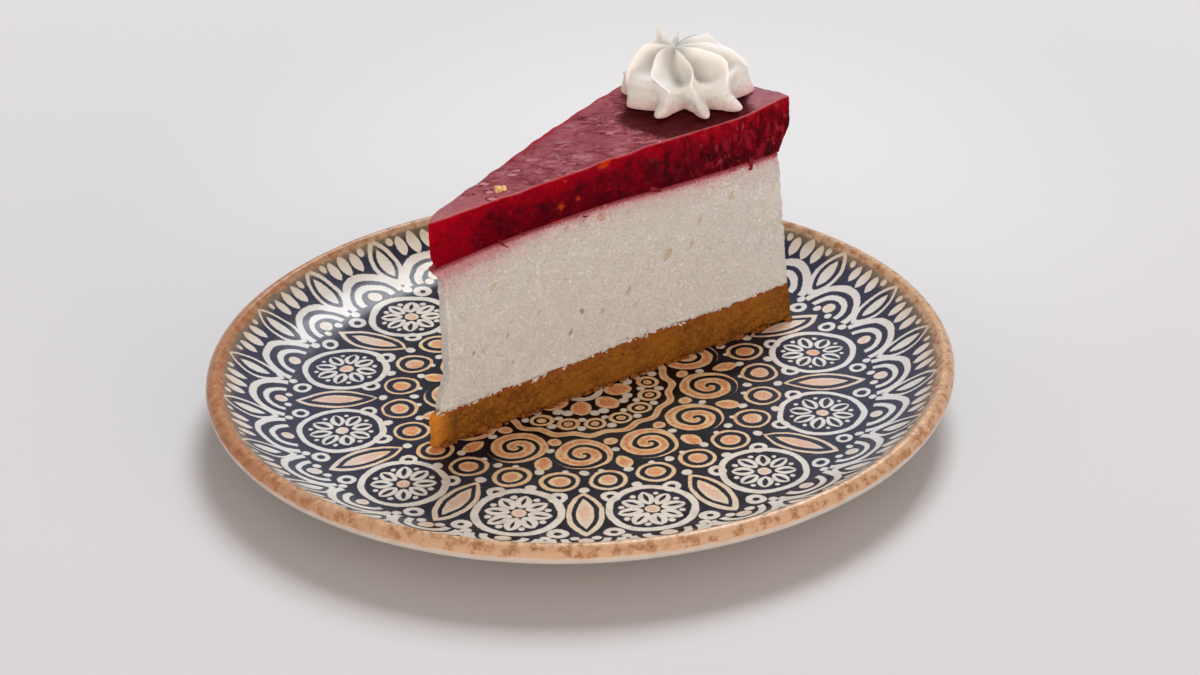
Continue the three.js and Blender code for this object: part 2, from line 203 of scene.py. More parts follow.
def ring_mesh(name, rows, values):
    """A closed mesh from rings of points, from below, round the outside, to the top.

    rows is rings x columns x 3, and values gives one number for each of these points, by name.
    """
    values = {key: closed(grid) for key, grid in values.items()}
    return make_mesh(name, closed(rows), ring_faces(*rows.shape[:2]), values)


def ring_faces(rings, columns):
    """Quads between the rings, ring by ring, then the triangles of the low and the high cap."""
    k = np.arange(columns)
    after = (k + 1) % columns
    starts = 1 + np.arange(rings - 3)[:, None] * columns
    quads = np.stack([starts + k, starts + after, starts + columns + after, starts + columns + k], axis=-1)
    quads = quads.reshape(-1, 4)
    last = 1 + (rings - 2) * columns
    final = 1 + (rings - 3) * columns
    low_cap = np.stack([np.zeros_like(k), 1 + after, 1 + k], axis=-1)
    high_cap = np.stack([np.full_like(k, last), final + k, final + after], axis=-1)
    return quads.tolist() + low_cap.tolist() + high_cap.tolist()


def lumps_mesh(name, lumps, seed, roughness, values=None):
    """Many small rough lumps in one mesh: each has a centre, three half sizes and three axes."""
    rings, columns = 9, 12
    polar = np.linspace(0, math.pi, rings)[:, None]
    around = np.linspace(0, 2 * math.pi, columns, endpoint=False)[None, :]
    ball = np.stack([np.sin(polar) * np.cos(around), np.sin(polar) * np.sin(around),
                     -np.cos(polar) + 0 * around], axis=-1)
    ball_faces = ring_faces(rings, columns)
    apart = 7.3  # between the places where two lumps read the noise
    points = []
    faces = []
    for number, (centre, reach, axes) in enumerate(lumps):
        out = 1 + roughness * rough(ball + number * apart, 0.8, 2, seed)[..., None]
        lump = closed((ball * out * np.asarray(reach)) @ axes + centre)
        faces += [[number * len(lump) + corner for corner in face] for face in ball_faces]
        points.append(lump)
    return make_mesh(name, np.concatenate(points), faces, values)


def place_piece(item, materials, node=None):
    """Gives a piece its materials and its slot, and lets it ride on the part."""
    for material in materials:
        item.data.materials.append(material)
    if node:
        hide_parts(node)
    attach(item, "root")


# Materials

class Number:
    """A number that varies over a surface. Arithmetic on it adds nodes to its material."""

    def __init__(self, nodes, socket):
        self.nodes = nodes
        self.socket = socket

    def __add__(self, other):
        return self.nodes.math("ADD", self, other)

    def __sub__(self, other):
        return self.nodes.math("SUBTRACT", self, other)

    def __rsub__(self, other):
        return self.nodes.math("SUBTRACT", other, self)

    def __mul__(self, other):
        return self.nodes.math("MULTIPLY", self, other)

    def __truediv__(self, other):
        return self.nodes.math("DIVIDE", self, other)

    def __neg__(self):
        return self * -1.0

    def __abs__(self):
        return self.nodes.math("ABSOLUTE", self)


def linear(rgb):
    """The linear colour of an sRGB one given from 0 to 255."""
    shares = [value / 255 for value in rgb]
    return tuple(share / 12.92 if share <= 0.04045 else ((share + 0.055) / 1.055) ** 2.4 for share in shares)


class Nodes:
    """A node tree that ends in one shader. Sizes of noise and grains are in millimetres."""

    def __init__(self, owner, shader, output, place):
        owner.use_nodes = True
        self.tree = owner.node_tree
        self.tree.nodes.clear()
        self.shader = self.add(shader)
        self.add(output, {"Surface": self.shader.outputs[0]})
        self.place = self.add("ShaderNodeTexCoord").outputs[place]

    def add(self, kind, inputs=None, **settings):
        """A new node. inputs are by name or number, and may be numbers that vary."""
        node = self.tree.nodes.new(kind)
        for key, value in settings.items():
            setattr(node, key, value)
        for key, value in (inputs or {}).items():
            self.feed(node.inputs[key], value)
        return node

    def feed(self, socket, value):
        if isinstance(value, Number):
            value = value.socket
        if isinstance(value, bpy.types.NodeSocket):
            self.tree.links.new(value, socket)
        else:
            socket.default_value = value

    def set(self, name, value):
        self.feed(self.shader.inputs[name], value)

    def math(self, operation, *values):
        node = self.add("ShaderNodeMath", dict(enumerate(values)), operation=operation)
        return Number(self, node.outputs[0])

    def smaller(self, first, *others):
        for value in others:
            first = self.math("MINIMUM", first, value)
        return first

    def larger(self, a, b):
        return self.math("MAXIMUM", a, b)

    def step(self, low, high, value):
        """0 at low and 1 at high, with a soft start and end. low may be above high."""
        inputs = {"Value": value, "From Min": min(low, high), "From Max": max(low, high),
                  "To Min": float(low > high), "To Max": float(low <= high)}
        node = self.add("ShaderNodeMapRange", inputs, interpolation_type="SMOOTHSTEP")
        return Number(self, node.outputs["Result"])

    def split(self):
        """How far the place lies along X, Y and Z."""
        node = self.add("ShaderNodeSeparateXYZ", {0: self.place})
        return [Number(self, socket) for socket in node.outputs]

    def mix(self, share, under, over):
        """A colour between two others. Three numbers are a linear colour."""
        under, over = (value + (1.0,) if isinstance(value, tuple) else value for value in (under, over))
        return self.add("ShaderNodeMix", {0: share, 6: under, 7: over}, data_type="RGBA").outputs[2]


class Surface(Nodes):
    """One material. Its paint is the colour laid on so far."""

    def __init__(self, name, paint=None):
        self.material = bpy.data.materials.new(name)
        super().__init__(self.material, "ShaderNodeBsdfPrincipled", "ShaderNodeOutputMaterial", "Object")
        self.paint = paint

    def attribute(self, name):
        return Number(self, self.add("ShaderNodeAttribute", attribute_name=name).outputs["Fac"])

    def plan(self):
        """The object seen from above, in millimetres."""
        x, y, _ = self.split()
        return Motif(self, x * 1000.0, y * 1000.0)

    def stretched(self, x, y, z, turn=0.0):
        """The place on the surface, turned about Z and divided by a size along each axis."""
        inputs = {"Vector": self.place, "Rotation": (0, 0, turn), "Scale": (x, y, z)}
        return self.add("ShaderNodeMapping", inputs, vector_type="TEXTURE").outputs["Vector"]

    def noise(self, size, detail=2.0, roughness=0.5, distortion=0.0, place=None):
        inputs = {"Vector": place or self.place, "Scale": 1 / (size * MM), "Detail": detail,
                  "Roughness": roughness, "Distortion": distortion}
        return Number(self, self.add("ShaderNodeTexNoise", inputs).outputs[0])

    def stray(self, amount, *noise):
        """Noise around 0, from one end to the other about as wide as amount."""
        return (self.noise(*noise) - 0.5) * amount

    def spots(self, low, high, *noise):
        """1 where noise is above high, and 0 where it is below low, or the other way round."""
        return self.step(low, high, self.noise(*noise))

    def grains(self, size, place=None):
        """Distance from the nearest of scattered points, in sizes, and that point's own number."""
        node = self.add("ShaderNodeTexVoronoi", {"Vector": place or self.place, "Scale": 1 / (size * MM)})
        split = self.add("ShaderNodeSeparateColor", {0: node.outputs["Color"]})
        return Number(self, node.outputs["Distance"]), Number(self, split.outputs[0])

    def blend(self, share, under, over):
        """A colour between two others. Three numbers are sRGB, from 0 to 255."""
        under, over = (linear(value) if isinstance(value, tuple) else value for value in (under, over))
        return self.mix(share, under, over)

    def coat(self, share, rgb):
        """Lays a colour over the paint."""
        self.paint = self.blend(share, self.paint, rgb)

    def shine(self, roughness, specular, refraction=None):
        """Gives the surface its paint and its gloss."""
        self.set("Base Color", self.paint)
        self.set("Roughness", roughness)
        self.set("Specular IOR Level", specular)
        if refraction:
            self.set("IOR", refraction)

    def scatter(self, weight, radius, scale):
        """Lets light wander under the surface, as far as scale in millimetres."""
        self.set("Subsurface Weight", weight)
        self.set("Subsurface Radius", radius)
        self.set("Subsurface Scale", scale * MM)

    def bump(self, height, strength=1.0):
        """Normal from a height in millimetres."""
        node = self.add("ShaderNodeBump", {"Height": height, "Distance": MM, "Strength": strength})
        self.set("Normal", node.outputs[0])


# The plate

PLATE_RADIUS = 105.0
PLATE_HEIGHT = 19.0
WELL_HEIGHT = 8.0
WELL_RADIUS = 76.0
CREST_RADIUS = 101.8
LIP_THICKNESS = 6.0
FOOT_OUTER = 63.0
FOOT_INNER = 57.0
FOOT_ROUNDING = 1.6
RECESS_HEIGHT = 2.4
FOOT_WALL_HEIGHT = 3.2
LIP_UNDERSIDE = 13.35
PLATE_COLUMNS = 288


def plate_top(radius):
    t = np.clip((radius - WELL_RADIUS) / (CREST_RADIUS - WELL_RADIUS), 0, 1)
    return WELL_HEIGHT + (PLATE_HEIGHT - WELL_HEIGHT) * t ** 2


def plate_profile():
    """Points from the middle of the underside, round the lip, to the middle of the top.

    The second list is 0 on the crest of the lip, below 0 inside it and above 0 outside, in millimetres.
    """
    round_start = FOOT_INNER - 2.2
    under = [(radius, RECESS_HEIGHT) for radius in (0.0, 15, 30, 42, 50, 53, round_start)]
    # foot ring with rounded edges
    for angle in np.linspace(0, math.pi / 2, 5)[1:]:
        under.append((round_start + FOOT_ROUNDING * math.sin(angle),
                      RECESS_HEIGHT - FOOT_ROUNDING * (1 - math.cos(angle))))
    under += [(FOOT_INNER - 0.35, 0.25), (FOOT_INNER, 0.0), (FOOT_OUTER, 0.0), (FOOT_OUTER + 0.5, 0.15),
              (FOOT_OUTER + 0.9, 0.6), (FOOT_OUTER + 1.5, FOOT_WALL_HEIGHT - 1.0),
              (FOOT_OUTER + 2.1, FOOT_WALL_HEIGHT - 0.3)]
    for t in np.linspace(0.03, 1, 30):
        radius = lerp(FOOT_OUTER + 3, PLATE_RADIUS - 2, t)
        under.append((radius, lerp(FOOT_WALL_HEIGHT, LIP_UNDERSIDE, t ** 2.2)))
    half = LIP_THICKNESS / 2
    for angle in np.linspace(-0.6, math.pi / 2 + 0.1, 22):
        under.append((PLATE_RADIUS - half + half * math.cos(angle),
                      PLATE_HEIGHT - half + half * math.sin(angle)))
    crest = len(under) - 2
    slope_radii = np.arange(CREST_RADIUS - 0.7, WELL_RADIUS - 4, -0.9)
    slope = [(radius, float(plate_top(radius))) for radius in slope_radii]
    well = [(radius, WELL_HEIGHT) for radius in np.linspace(WELL_RADIUS - 6, 0, 26)]
    profile = np.array(under + slope + well)
    along = distance_along(profile)
    return profile, along[crest] - along


def make_plate():
    profile, past_crest = plate_profile()
    angles = np.linspace(0, 2 * math.pi, PLATE_COLUMNS, endpoint=False)
    radius = profile[:, 0][:, None]
    rows = np.stack([radius * np.cos(angles), radius * np.sin(angles),
                     np.broadcast_to(profile[:, 1][:, None], (len(profile), PLATE_COLUMNS))], axis=-1)
    # the glaze has pooled a little unevenly on the lip
    near_lip = smooth(94, 101, radius) * (rows[..., 2] > 14)
    rows[..., 2] += near_lip * 0.12 * rough(rows, 22, 2, 5)
    values = {"past_crest": np.broadcast_to(past_crest[:, None], rows.shape[:2])}
    return ring_mesh("plate_glazed", rows, values)


class Motif:
    """Plane geometry for a printed pattern: each shape is its distance in millimetres, negative inside."""

    def __init__(self, nodes, x, y):
        self.nodes = nodes
        self.x = x
        self.y = y
        self.vector = nodes.add("ShaderNodeCombineXYZ", {0: x, 1: y}).outputs[0]

    def reach(self, x, y):
        node = self.nodes.add("ShaderNodeVectorMath", {0: self.vector, 1: (x, y, 0)}, operation="DISTANCE")
        return Number(self.nodes, node.outputs["Value"])

    def dot(self, x, y, radius):
        return self.reach(x, y) - radius

    def oval(self, x, y, half_length, half_width, turn):
        """An oval with its long way turned up from x, its distance only rough."""
        here_x = self.x - x
        here_y = self.y - y
        along = (here_x * math.cos(turn) + here_y * math.sin(turn)) / half_length
        across = (here_y * math.cos(turn) - here_x * math.sin(turn)) / half_width
        far = self.nodes.math("SQRT", along * along + across * across)
        return (far - 1) * min(half_length, half_width)

    def ring(self, x, y, radius, width):
        return abs(self.reach(x, y) - radius) - width / 2

    def leaf(self, x, y, half_length, half_width):
        """A pointed leaf along y, from two arcs."""
        radius = (half_length ** 2 + half_width ** 2) / (2 * half_width)
        shift = radius - half_width
        return self.nodes.larger(self.reach(x - shift, y), self.reach(x + shift, y)) - radius

    def turned(self, count, phase=0.0, y=0.0):
        """The same plane seen from (0, y), folded into count equal wedges, each looking along y."""
        angle = self.nodes.math("ARCTAN2", self.x, self.y - y)
        far = self.reach(0, y)
        share = self.nodes.math("FRACT", angle * (count / (2 * math.pi)) + (phase + 0.5)) - 0.5
        turn = share * (2 * math.pi / count)
        return Motif(self.nodes, far * self.nodes.math("SINE", turn), far * self.nodes.math("COSINE", turn))

    def mirrored(self):
        return Motif(self.nodes, abs(self.x), self.y)

    def spiral(self, y, radius, pitch, width, start):
        """A band that winds inwards from the radius around (0, y)."""
        angle = self.nodes.math("ARCTAN2", self.y - y, self.x) / (2 * math.pi)
        far = self.reach(0, y)
        wound = self.nodes.math("FRACT", far / pitch + angle + start) - 0.5
        band = abs(wound) * pitch - width / 2
        return self.nodes.larger(band, far - radius)


def plate_print(nodes, plane):
    """The plate's pattern: its pale shapes and its warm ones, each as one distance."""
    larger = nodes.larger
    # middle: a round rosette
    petals = plane.turned(8)
    pale = [plane.dot(0, 0, 2.8), plane.ring(0, 0, 5.3, 2.0), petals.mirrored().dot(3.9, 13.0, 1.5)]
    warm = [petals.leaf(0, 10.4, 4.0, 3.2)]

    # a band of drops inside a wavy line
    drops = plane.turned(16, 0.5)
    between_drops = plane.turned(16)
    pale += [between_drops.dot(0, 17.0, 1.1), between_drops.dot(0, 22.0, 1.3)]
    warm += [larger(drops.dot(0, 19.6, 3.3), -drops.ring(0, 19.7, 1.7, 0.8))]
    wave = nodes.math("SINE", nodes.math("ARCTAN2", plane.y, plane.x) * 16.0) * 0.7
    warm += [abs(plane.reach(0, 0) - 25.4 - wave) - 1.15]

    # single spirals, with drops in the gaps
    scrolls = plane.turned(12)
    beside = plane.turned(12, 0.5)
    pale += [beside.dot(0, 35.2, 1.2), scrolls.mirrored().dot(5.0, 45.6, 1.1)]
    warm += [scrolls.spiral(36.3, 8.4, 4.5, 3.2, 0.2)]
    warm += [beside.leaf(0, 42.6, 3.9, 2.5), beside.dot(0, 30.2, 1.9)]

    # a chain of round links
    links = plane.turned(24, 0.5)
    link_gaps = plane.turned(24)
    pale += [link_gaps.dot(0, 46.9, 1.5), link_gaps.dot(0, 55.9, 1.7)]
    warm += [larger(links.dot(0, 51.3, 5.6), -links.ring(0, 51.3, 3.5, 1.1))]

    # large round flowers with tall leaves between them
    flowers = plane.turned(12, 0.5)
    flower = flowers.turned(8, y=69.2)
    pale += [larger(flower.leaf(0, 5.9, 3.5, 2.4), -flower.leaf(0, 6.2, 1.8, 0.45))]
    pale += [flowers.ring(0, 69.2, 11.6, 2.4), flower.mirrored().dot(3.2, 7.7, 1.0)]
    warm += [flowers.dot(0, 69.2, 2.2)]
    tall = plane.turned(12)
    warm += [larger(tall.leaf(0, 69.0, 12.0, 5.2), -abs(tall.leaf(0, 68.6, 8.8, 3.0)) + 0.5)]
    pair = tall.mirrored()
    pale += [larger(pair.dot(x, y, 2.9), -pair.dot(x, y, 0.9)) for x, y in ((7.2, 59.7), (7.4, 78.8))]
    pale += [pair.dot(2.9, 82.4, 1.4)]

    # scallops that carry the outer band
    scallops = plane.turned(24)
    cut_below = 82.6 - scallops.y
    pale += [larger(scallops.ring(0, 83.0, *size), cut_below) for size in ((9.4, 2.6), (5.7, 2.3))]
    warm += [scallops.dot(0, 84.6, 2.2)]

    # pointed leaves up to the rim, with round ones between them
    outer = plane.turned(24, 0.5)
    fringe = scallops.mirrored()
    pale += [larger(outer.leaf(0, 92.8, 8.2, 4.6), -abs(outer.leaf(0, 93.2, 5.4, 2.5)) + 0.5)]
    pale += [outer.dot(0, 82.4, 1.5), scallops.leaf(0, 96.9, 3.4, 2.0)]
    pale += [fringe.leaf(4.4, 96.6, 3.0, 1.8), fringe.dot(7.6, 98.4, 1.2)]
    return nodes.smaller(*pale), nodes.smaller(*warm)


def plate_material():
    nodes = Surface("plate_glaze")
    step, stray, spots, blend = nodes.step, nodes.stray, nodes.spots, nodes.blend
    x, y, _ = nodes.split()
    plane = Motif(nodes, x * 1000.0 + stray(1.7, 9, 1), y * 1000.0 + stray(1.7, 11, 1))
    radius = plane.reach(0, 0)
    frayed = stray(0.45, 0.7, 2)
    pale_shape, warm_shape = (shape + frayed for shape in plate_print(nodes, plane))
    # the colour was pressed on thicker in places
    outside = step(30, 52, radius)
    thinner = outside * 0.24 + step(20, 75, abs(plane.x)) * outside * 0.12 - step(-35, -85, plane.y) * 0.22
    thinner = thinner - step(20, 75, plane.y) * 0.25 + stray(0.5, 22, 2)
    printed = step(0.16, -0.16, nodes.smaller(pale_shape, warm_shape) + thinner)

    # colours of the print, with a painted sheen towards the left and right and a painted shadow of the slice
    # near the middle
    blotch = nodes.noise(16, 2) - 0.5
    side = step(34, 84, abs(plane.x)) * step(-92, -40, plane.y)
    navy = blend(spots(0.35, 0.75, 5, 3), (13, 15, 28), (30, 35, 54))
    # painted sheen: the navy lighter towards the left and right
    navy = blend(side * 0.85, navy, (60, 62, 80))
    # painted shadow of the slice: the navy darkest near the middle
    navy = blend(step(52, 26, radius) * 0.8, navy, (6, 5, 5))
    pale = blend(spots(0.4, 0.75, 4, 4, 0.6), (220, 213, 201), (202, 192, 176))
    # painted sheen: the pale greyer towards the left and right
    pale = blend(side * 0.8, pale, (212, 214, 216))
    inside = step(-0.35, -1.5, warm_shape + stray(3.4, 3.4, 3, 0.6))
    near_middle = step(86, 40, radius + blotch * 40.0)
    tinted = blend(inside * spots(0.30, 0.62, 0.45, 3, 0.7) * 0.95, (224, 192, 146), (204, 98, 28))
    is_warm = step(0.1, -0.1, warm_shape - pale_shape) * (near_middle * 0.75 + 0.25)
    paint = blend(is_warm, pale, tinted)
    paint = blend(step(88, 101, radius + blotch * 8.0) * 0.45, paint, (202, 176, 134))
    pattern = blend(printed, navy, paint)

    # the rust-brown rim, mottled, with a worn inner edge and a soft lower one
    past_crest = nodes.attribute("past_crest")
    ragged = stray(3.2, 2.2, 4, 0.65) + stray(1.6, 14, 1)
    dark_rust = blend(spots(0.35, 0.7, 0.9, 4, 0.75), (172, 132, 98), (126, 82, 51))
    rust = blend(spots(0.45, 0.62, 3.0, 3, 0.6), (184, 151, 122), dark_rust)
    crest_light = step(1.6, 0.0, abs(past_crest - 0.4)) * spots(0.4, 0.6, 1.7, 3, 0.6)
    rust = blend(crest_light * 0.55, rust, (226, 190, 150))
    # painted shade: the rim darker towards its left side
    rust = blend(step(-50, -104, plane.x + stray(30.0, 12, 2)) * 0.6, rust, (150, 86, 46))
    haze = step(-7.0, -2.2, past_crest + ragged * 1.6)
    top = blend(haze * 0.4, pattern, (178, 152, 112))
    top = blend(step(-2.9, -1.9, past_crest + ragged), top, rust)
    lower_edge = past_crest + stray(1.6, 3.5, 3, 0.6)
    white = blend(spots(0.3, 0.8, 8, 3), (188, 183, 177), (176, 170, 163))
    stain = blend(step(5.6, 3.6, lower_edge), white, (190, 150, 112))
    nodes.paint = blend(step(4.0, 4.7, lower_edge), top, stain)
    nodes.shine(spots(0.3, 0.8, 3, 3) * 0.1 + 0.16, 0.17, 1.5)
    nodes.bump(nodes.noise(6, 2) * 0.05 + nodes.noise(1.4, 2) * 0.012)
    return nodes.material


# The slice: u runs from its tip along the near cut, v to the left of it

SLICE_TIP = (-40.4, -30.6)
SLICE_TURN = math.radians(34.25)
CUT_LENGTH = 124.0
TIP_ANGLE = math.radians(22.5)
FAR_CUT_START = 1.9
FAR_CUT_DENT = {"at": 98.0, "depth": 1.6, "width": 22.0}
BACK_BULGE = 0.9
REST_HEIGHT = WELL_HEIGHT + GAP

BASE_TOP = [10.3, 10.7, 10.9, 11.5, 11.7, 11.4, 12.2]
FILLING_TOP = [53.9, 55.3, 56.0, 56.0, 54.9, 54.1, 54.0]
JELLY_TOP = [68.3, 68.7, 69.0, 69.5, 69.6, 69.0, 69.3]
JELLY_RIM_RISE = 1.6
JELLY_RIM_REACH = 10.0
JELLY_RIPPLE = 0.22

JELLY_LEVELS = 36
CAP_SHARES = (0.3, 0.6, 0.85, 0.95)  # how far from the middle the rings of a flat cap lie
LAYER_PLACES = ("below_top", "from_tip", "from_near_cut", "from_far_cut", "height")
PLAN_COUNTS = (260, 100, 250, 8)  # points along the near cut, the outer side, the far cut and the tip


def slice_plan(tip, slant, back):
    """Plan of the slice as points (u, v), anticlockwise from the tip's near corner."""
    def far_cut(u):
        return np.array((u, FAR_CUT_START + math.tan(TIP_ANGLE) * u))

    near = np.array((tip, 0.0))
    near_back = np.array((CUT_LENGTH - back, 0.0))
    far_back = far_cut(CUT_LENGTH * math.cos(TIP_ANGLE) - back)
    far_tip = far_cut(tip + slant)
    sides = ((near, near_back), (near_back, far_back), (far_back, far_tip), (far_tip, near))
    plan = []
    for number, ((start, end), count) in enumerate(zip(sides, PLAN_COUNTS)):
        t = np.arange(count) / count
        line = start + (end - start) * t[:, None]
        direction = (end - start) / np.linalg.norm(end - start)
        outward = np.array((direction[1], -direction[0]))
        if number == 1:
            out = BACK_BULGE * 4 * t * (1 - t)
        elif number == 2:
            out = -FAR_CUT_DENT["depth"] * bell((line[:, 0] - FAR_CUT_DENT["at"]) / FAR_CUT_DENT["width"])
        else:
            out = 0 * t
        plan.append(line + outward * out[:, None])
    plan = np.concatenate(plan)
    for _ in range(2):
        plan = plan * 0.6 + (np.roll(plan, 1, axis=0) + np.roll(plan, -1, axis=0)) * 0.2
    return plan


def outward(plan):
    along = np.roll(plan, -1, axis=0) - np.roll(plan, 1, axis=0)
    for _ in range(3):
        along = (along + np.roll(along, 1, axis=0) + np.roll(along, -1, axis=0)) / 3
    along /= np.linalg.norm(along, axis=1)[:, None]
    return np.stack([along[:, 1], -along[:, 0]], axis=1)


def to_world(plan, height):
    c = math.cos(SLICE_TURN)
    s = math.sin(SLICE_TURN)
    u = plan[..., 0]
    v = plan[..., 1]
    x = SLICE_TIP[0] + u * c - v * s
    y = SLICE_TIP[1] + u * s + v * c
    return np.stack([x, y, REST_HEIGHT + height + 0 * u], axis=-1)


def to_slice(x, y):
    c = math.cos(SLICE_TURN)
    s = math.sin(SLICE_TURN)
    dx = x - SLICE_TIP[0]
    dy = y - SLICE_TIP[1]
    return np.stack([dx * c + dy * s, dy * c - dx * s], axis=-1)


def base_top(plan):
    return curve_value(BASE_TOP, plan[..., 0] / CUT_LENGTH)


def filling_top(plan):
    return curve_value(FILLING_TOP, plan[..., 0] / CUT_LENGTH)


def from_cream(plan):
    world = to_world(plan, 0)
    return np.hypot(world[..., 0] - CREAM_CENTRE[0], world[..., 1] - CREAM_CENTRE[1])


def from_far_cut(plan):
    return (FAR_CUT_START + math.tan(TIP_ANGLE) * plan[..., 0] - plan[..., 1]) * math.cos(TIP_ANGLE)


def jelly_top(plan):
    calm = smooth(CREAM_CLEAR, CREAM_CLEAR + 7, from_cream(plan))
    ripple = JELLY_RIPPLE * unevenness(plan[..., 0], plan[..., 1], 0, 11) * calm
    back_distance = np.hypot(plan[..., 0] - CUT_LENGTH, plan[..., 1])
    rise = JELLY_RIM_RISE * bell(back_distance / JELLY_RIM_REACH)
    return curve_value(JELLY_TOP, plan[..., 0] / CUT_LENGTH) + rise + ripple


def layer(name, levels, plan_at, inset_at, bottom, top, relief, top_shares=CAP_SHARES[::-1],
          top_relief=None):
    """One layer of the slice. relief(points, t) is how far its side stands out and up, in millimetres."""
    rings = []
    places = []

    def keep(plan, height):
        """Notes a ring of points and, for each, the numbers named in LAYER_PLACES."""
        height = height + 0 * plan[:, 0]
        rings.append(to_world(plan, height))
        u, v = plan[:, 0], plan[:, 1]
        places.append(np.stack([top(plan) - height, u, v, from_far_cut(plan), height], axis=1))

    low_plan = plan_at(0) - outward(plan_at(0)) * inset_at(0)
    middle = low_plan.mean(axis=0)
    for share in (0.0,) + CAP_SHARES:
        plan = middle + (low_plan - middle) * share
        keep(plan, bottom(plan))
    for t in levels:
        plan = plan_at(t)
        out = outward(plan)
        plan = plan - out * inset_at(t)
        low = bottom(plan)
        high = top(plan)
        height = low + (high - low) * t
        points = np.concatenate([plan, height[:, None]], axis=1)
        stand, lift = relief(points, t)
        plan = plan + out * stand[:, None]
        keep(plan, height + lift)
    high_plan = plan_at(1) - outward(plan_at(1)) * inset_at(1)
    middle = high_plan.mean(axis=0)
    _, edge_lift = relief(np.concatenate([high_plan, top(high_plan)[:, None]], axis=1), 1)
    for share in top_shares + (0.0,):
        plan = middle + (high_plan - middle) * share
        height = top(plan)
        if top_relief:
            height = height + top_relief(plan, share)
        height = height + edge_lift * smooth(0.96, 1, share)
        keep(plan, height)
    rows = np.stack(rings)
    rows[0] = rows[0].mean(axis=0)
    rows[-1] = rows[-1].mean(axis=0)
    places = np.stack(places)
    return ring_mesh(name, rows, {key: places[..., k] for k, key in enumerate(LAYER_PLACES)})


def unit_levels(count, crowd=0.35):
    """Shares from 0 to 1, closer together at both ends."""
    t = np.linspace(0, 1, count)
    return lerp(t, (1 - np.cos(np.pi * t)) / 2, crowd)


def gentle(points, t, size, wavelength):
    """The part's own unevenness on the side of a layer, less along its two edges."""
    edge = 0.3 if t in (0, 1) else 1.0
    return size * edge * unevenness(points[:, 0], points[:, 1], t * 40, wavelength)


def make_base():
    def relief(points, t):
        grain, own = nearest_grain(points, 1.5, 3)
        crumb = 0.30 * (0.55 - grain) * (0.6 + own)
        hollow = -0.35 * smooth(0.35, 0.75, rough(points, 3.2, 3, 12))
        fine = 0.10 * rough(points, 0.9, 2, 40)
        loose = smooth(0.0, 0.08, t) * smooth(1.0, 0.94, t)
        lift = 0.5 * rough(points, 2.4, 3, 70) * smooth(0.9, 1, t) - 0.15 * smooth(0.9, 1, t)
        return gentle(points, t, 0.3, 9) + (crumb + hollow + fine) * (0.35 + 0.65 * loose), lift

    return layer(
        "biscuit_base_crumb",
        levels=unit_levels(34),
        plan_at=lambda t: slice_plan(0.1, -0.9, t),
        inset_at=lambda t: 0.3 * (smooth(0.08, 0, t) + smooth(0.9, 1, t)),
        bottom=lambda plan: 0 * plan[..., 0],
        top=base_top,
        relief=relief,
    )


def make_filling():
    def tip_at(t):
        worn = smooth(0, 0.24, t) * smooth(1.02, 0.86, t)
        return lerp(lerp(1.8, 1.6, t), 5.9, worn)

    def relief(points, t):
        height_above_base = t * 44
        smear = 0.14 * rough(points * (1, 1, 0.6), 5, 3, 21)
        curd, own = nearest_grain(points, 1.5, 8)
        grain = 0.34 * (0.5 - curd) * smooth(0.1, 0.9, own)
        fine = 0.20 * rough(points, 1.0, 2, 50, 0.8)
        hole, which = nearest_grain(points, 2.6, 15)
        pits = -0.5 * smooth(0.34, 0.10, hole) * (which > 0.7)
        corner = 0.6 * smooth(116, 122, points[:, 0]) * rough(points, 2.2, 3, 71, 0.7)
        skirt = smooth(3.2, 0.2, height_above_base)
        ragged = rough(points * (1, 1, 0.4), 3.0, 3, 33)
        stand = gentle(points, t, 0.18, 7) + smear + grain + fine + pits + corner
        stand = stand + skirt * (0.30 + 0.35 * ragged)
        low_edge = smooth(1.6, 0, height_above_base)
        lift = -low_edge * np.maximum(0, 0.25 + 0.9 * rough(points * (1, 1, 0), 2.6, 3, 61))
        return stand, lift

    return layer(
        "cheese_filling_cut",
        levels=unit_levels(84, 0.25),
        plan_at=lambda t: slice_plan(tip_at(t), 0, lerp(1.3, 3.8, t)),
        inset_at=lambda t: 0.15 + 0.2 * smooth(0.97, 1, t),
        bottom=lambda plan: base_top(plan) + GAP,
        top=filling_top,
        relief=relief,
    )


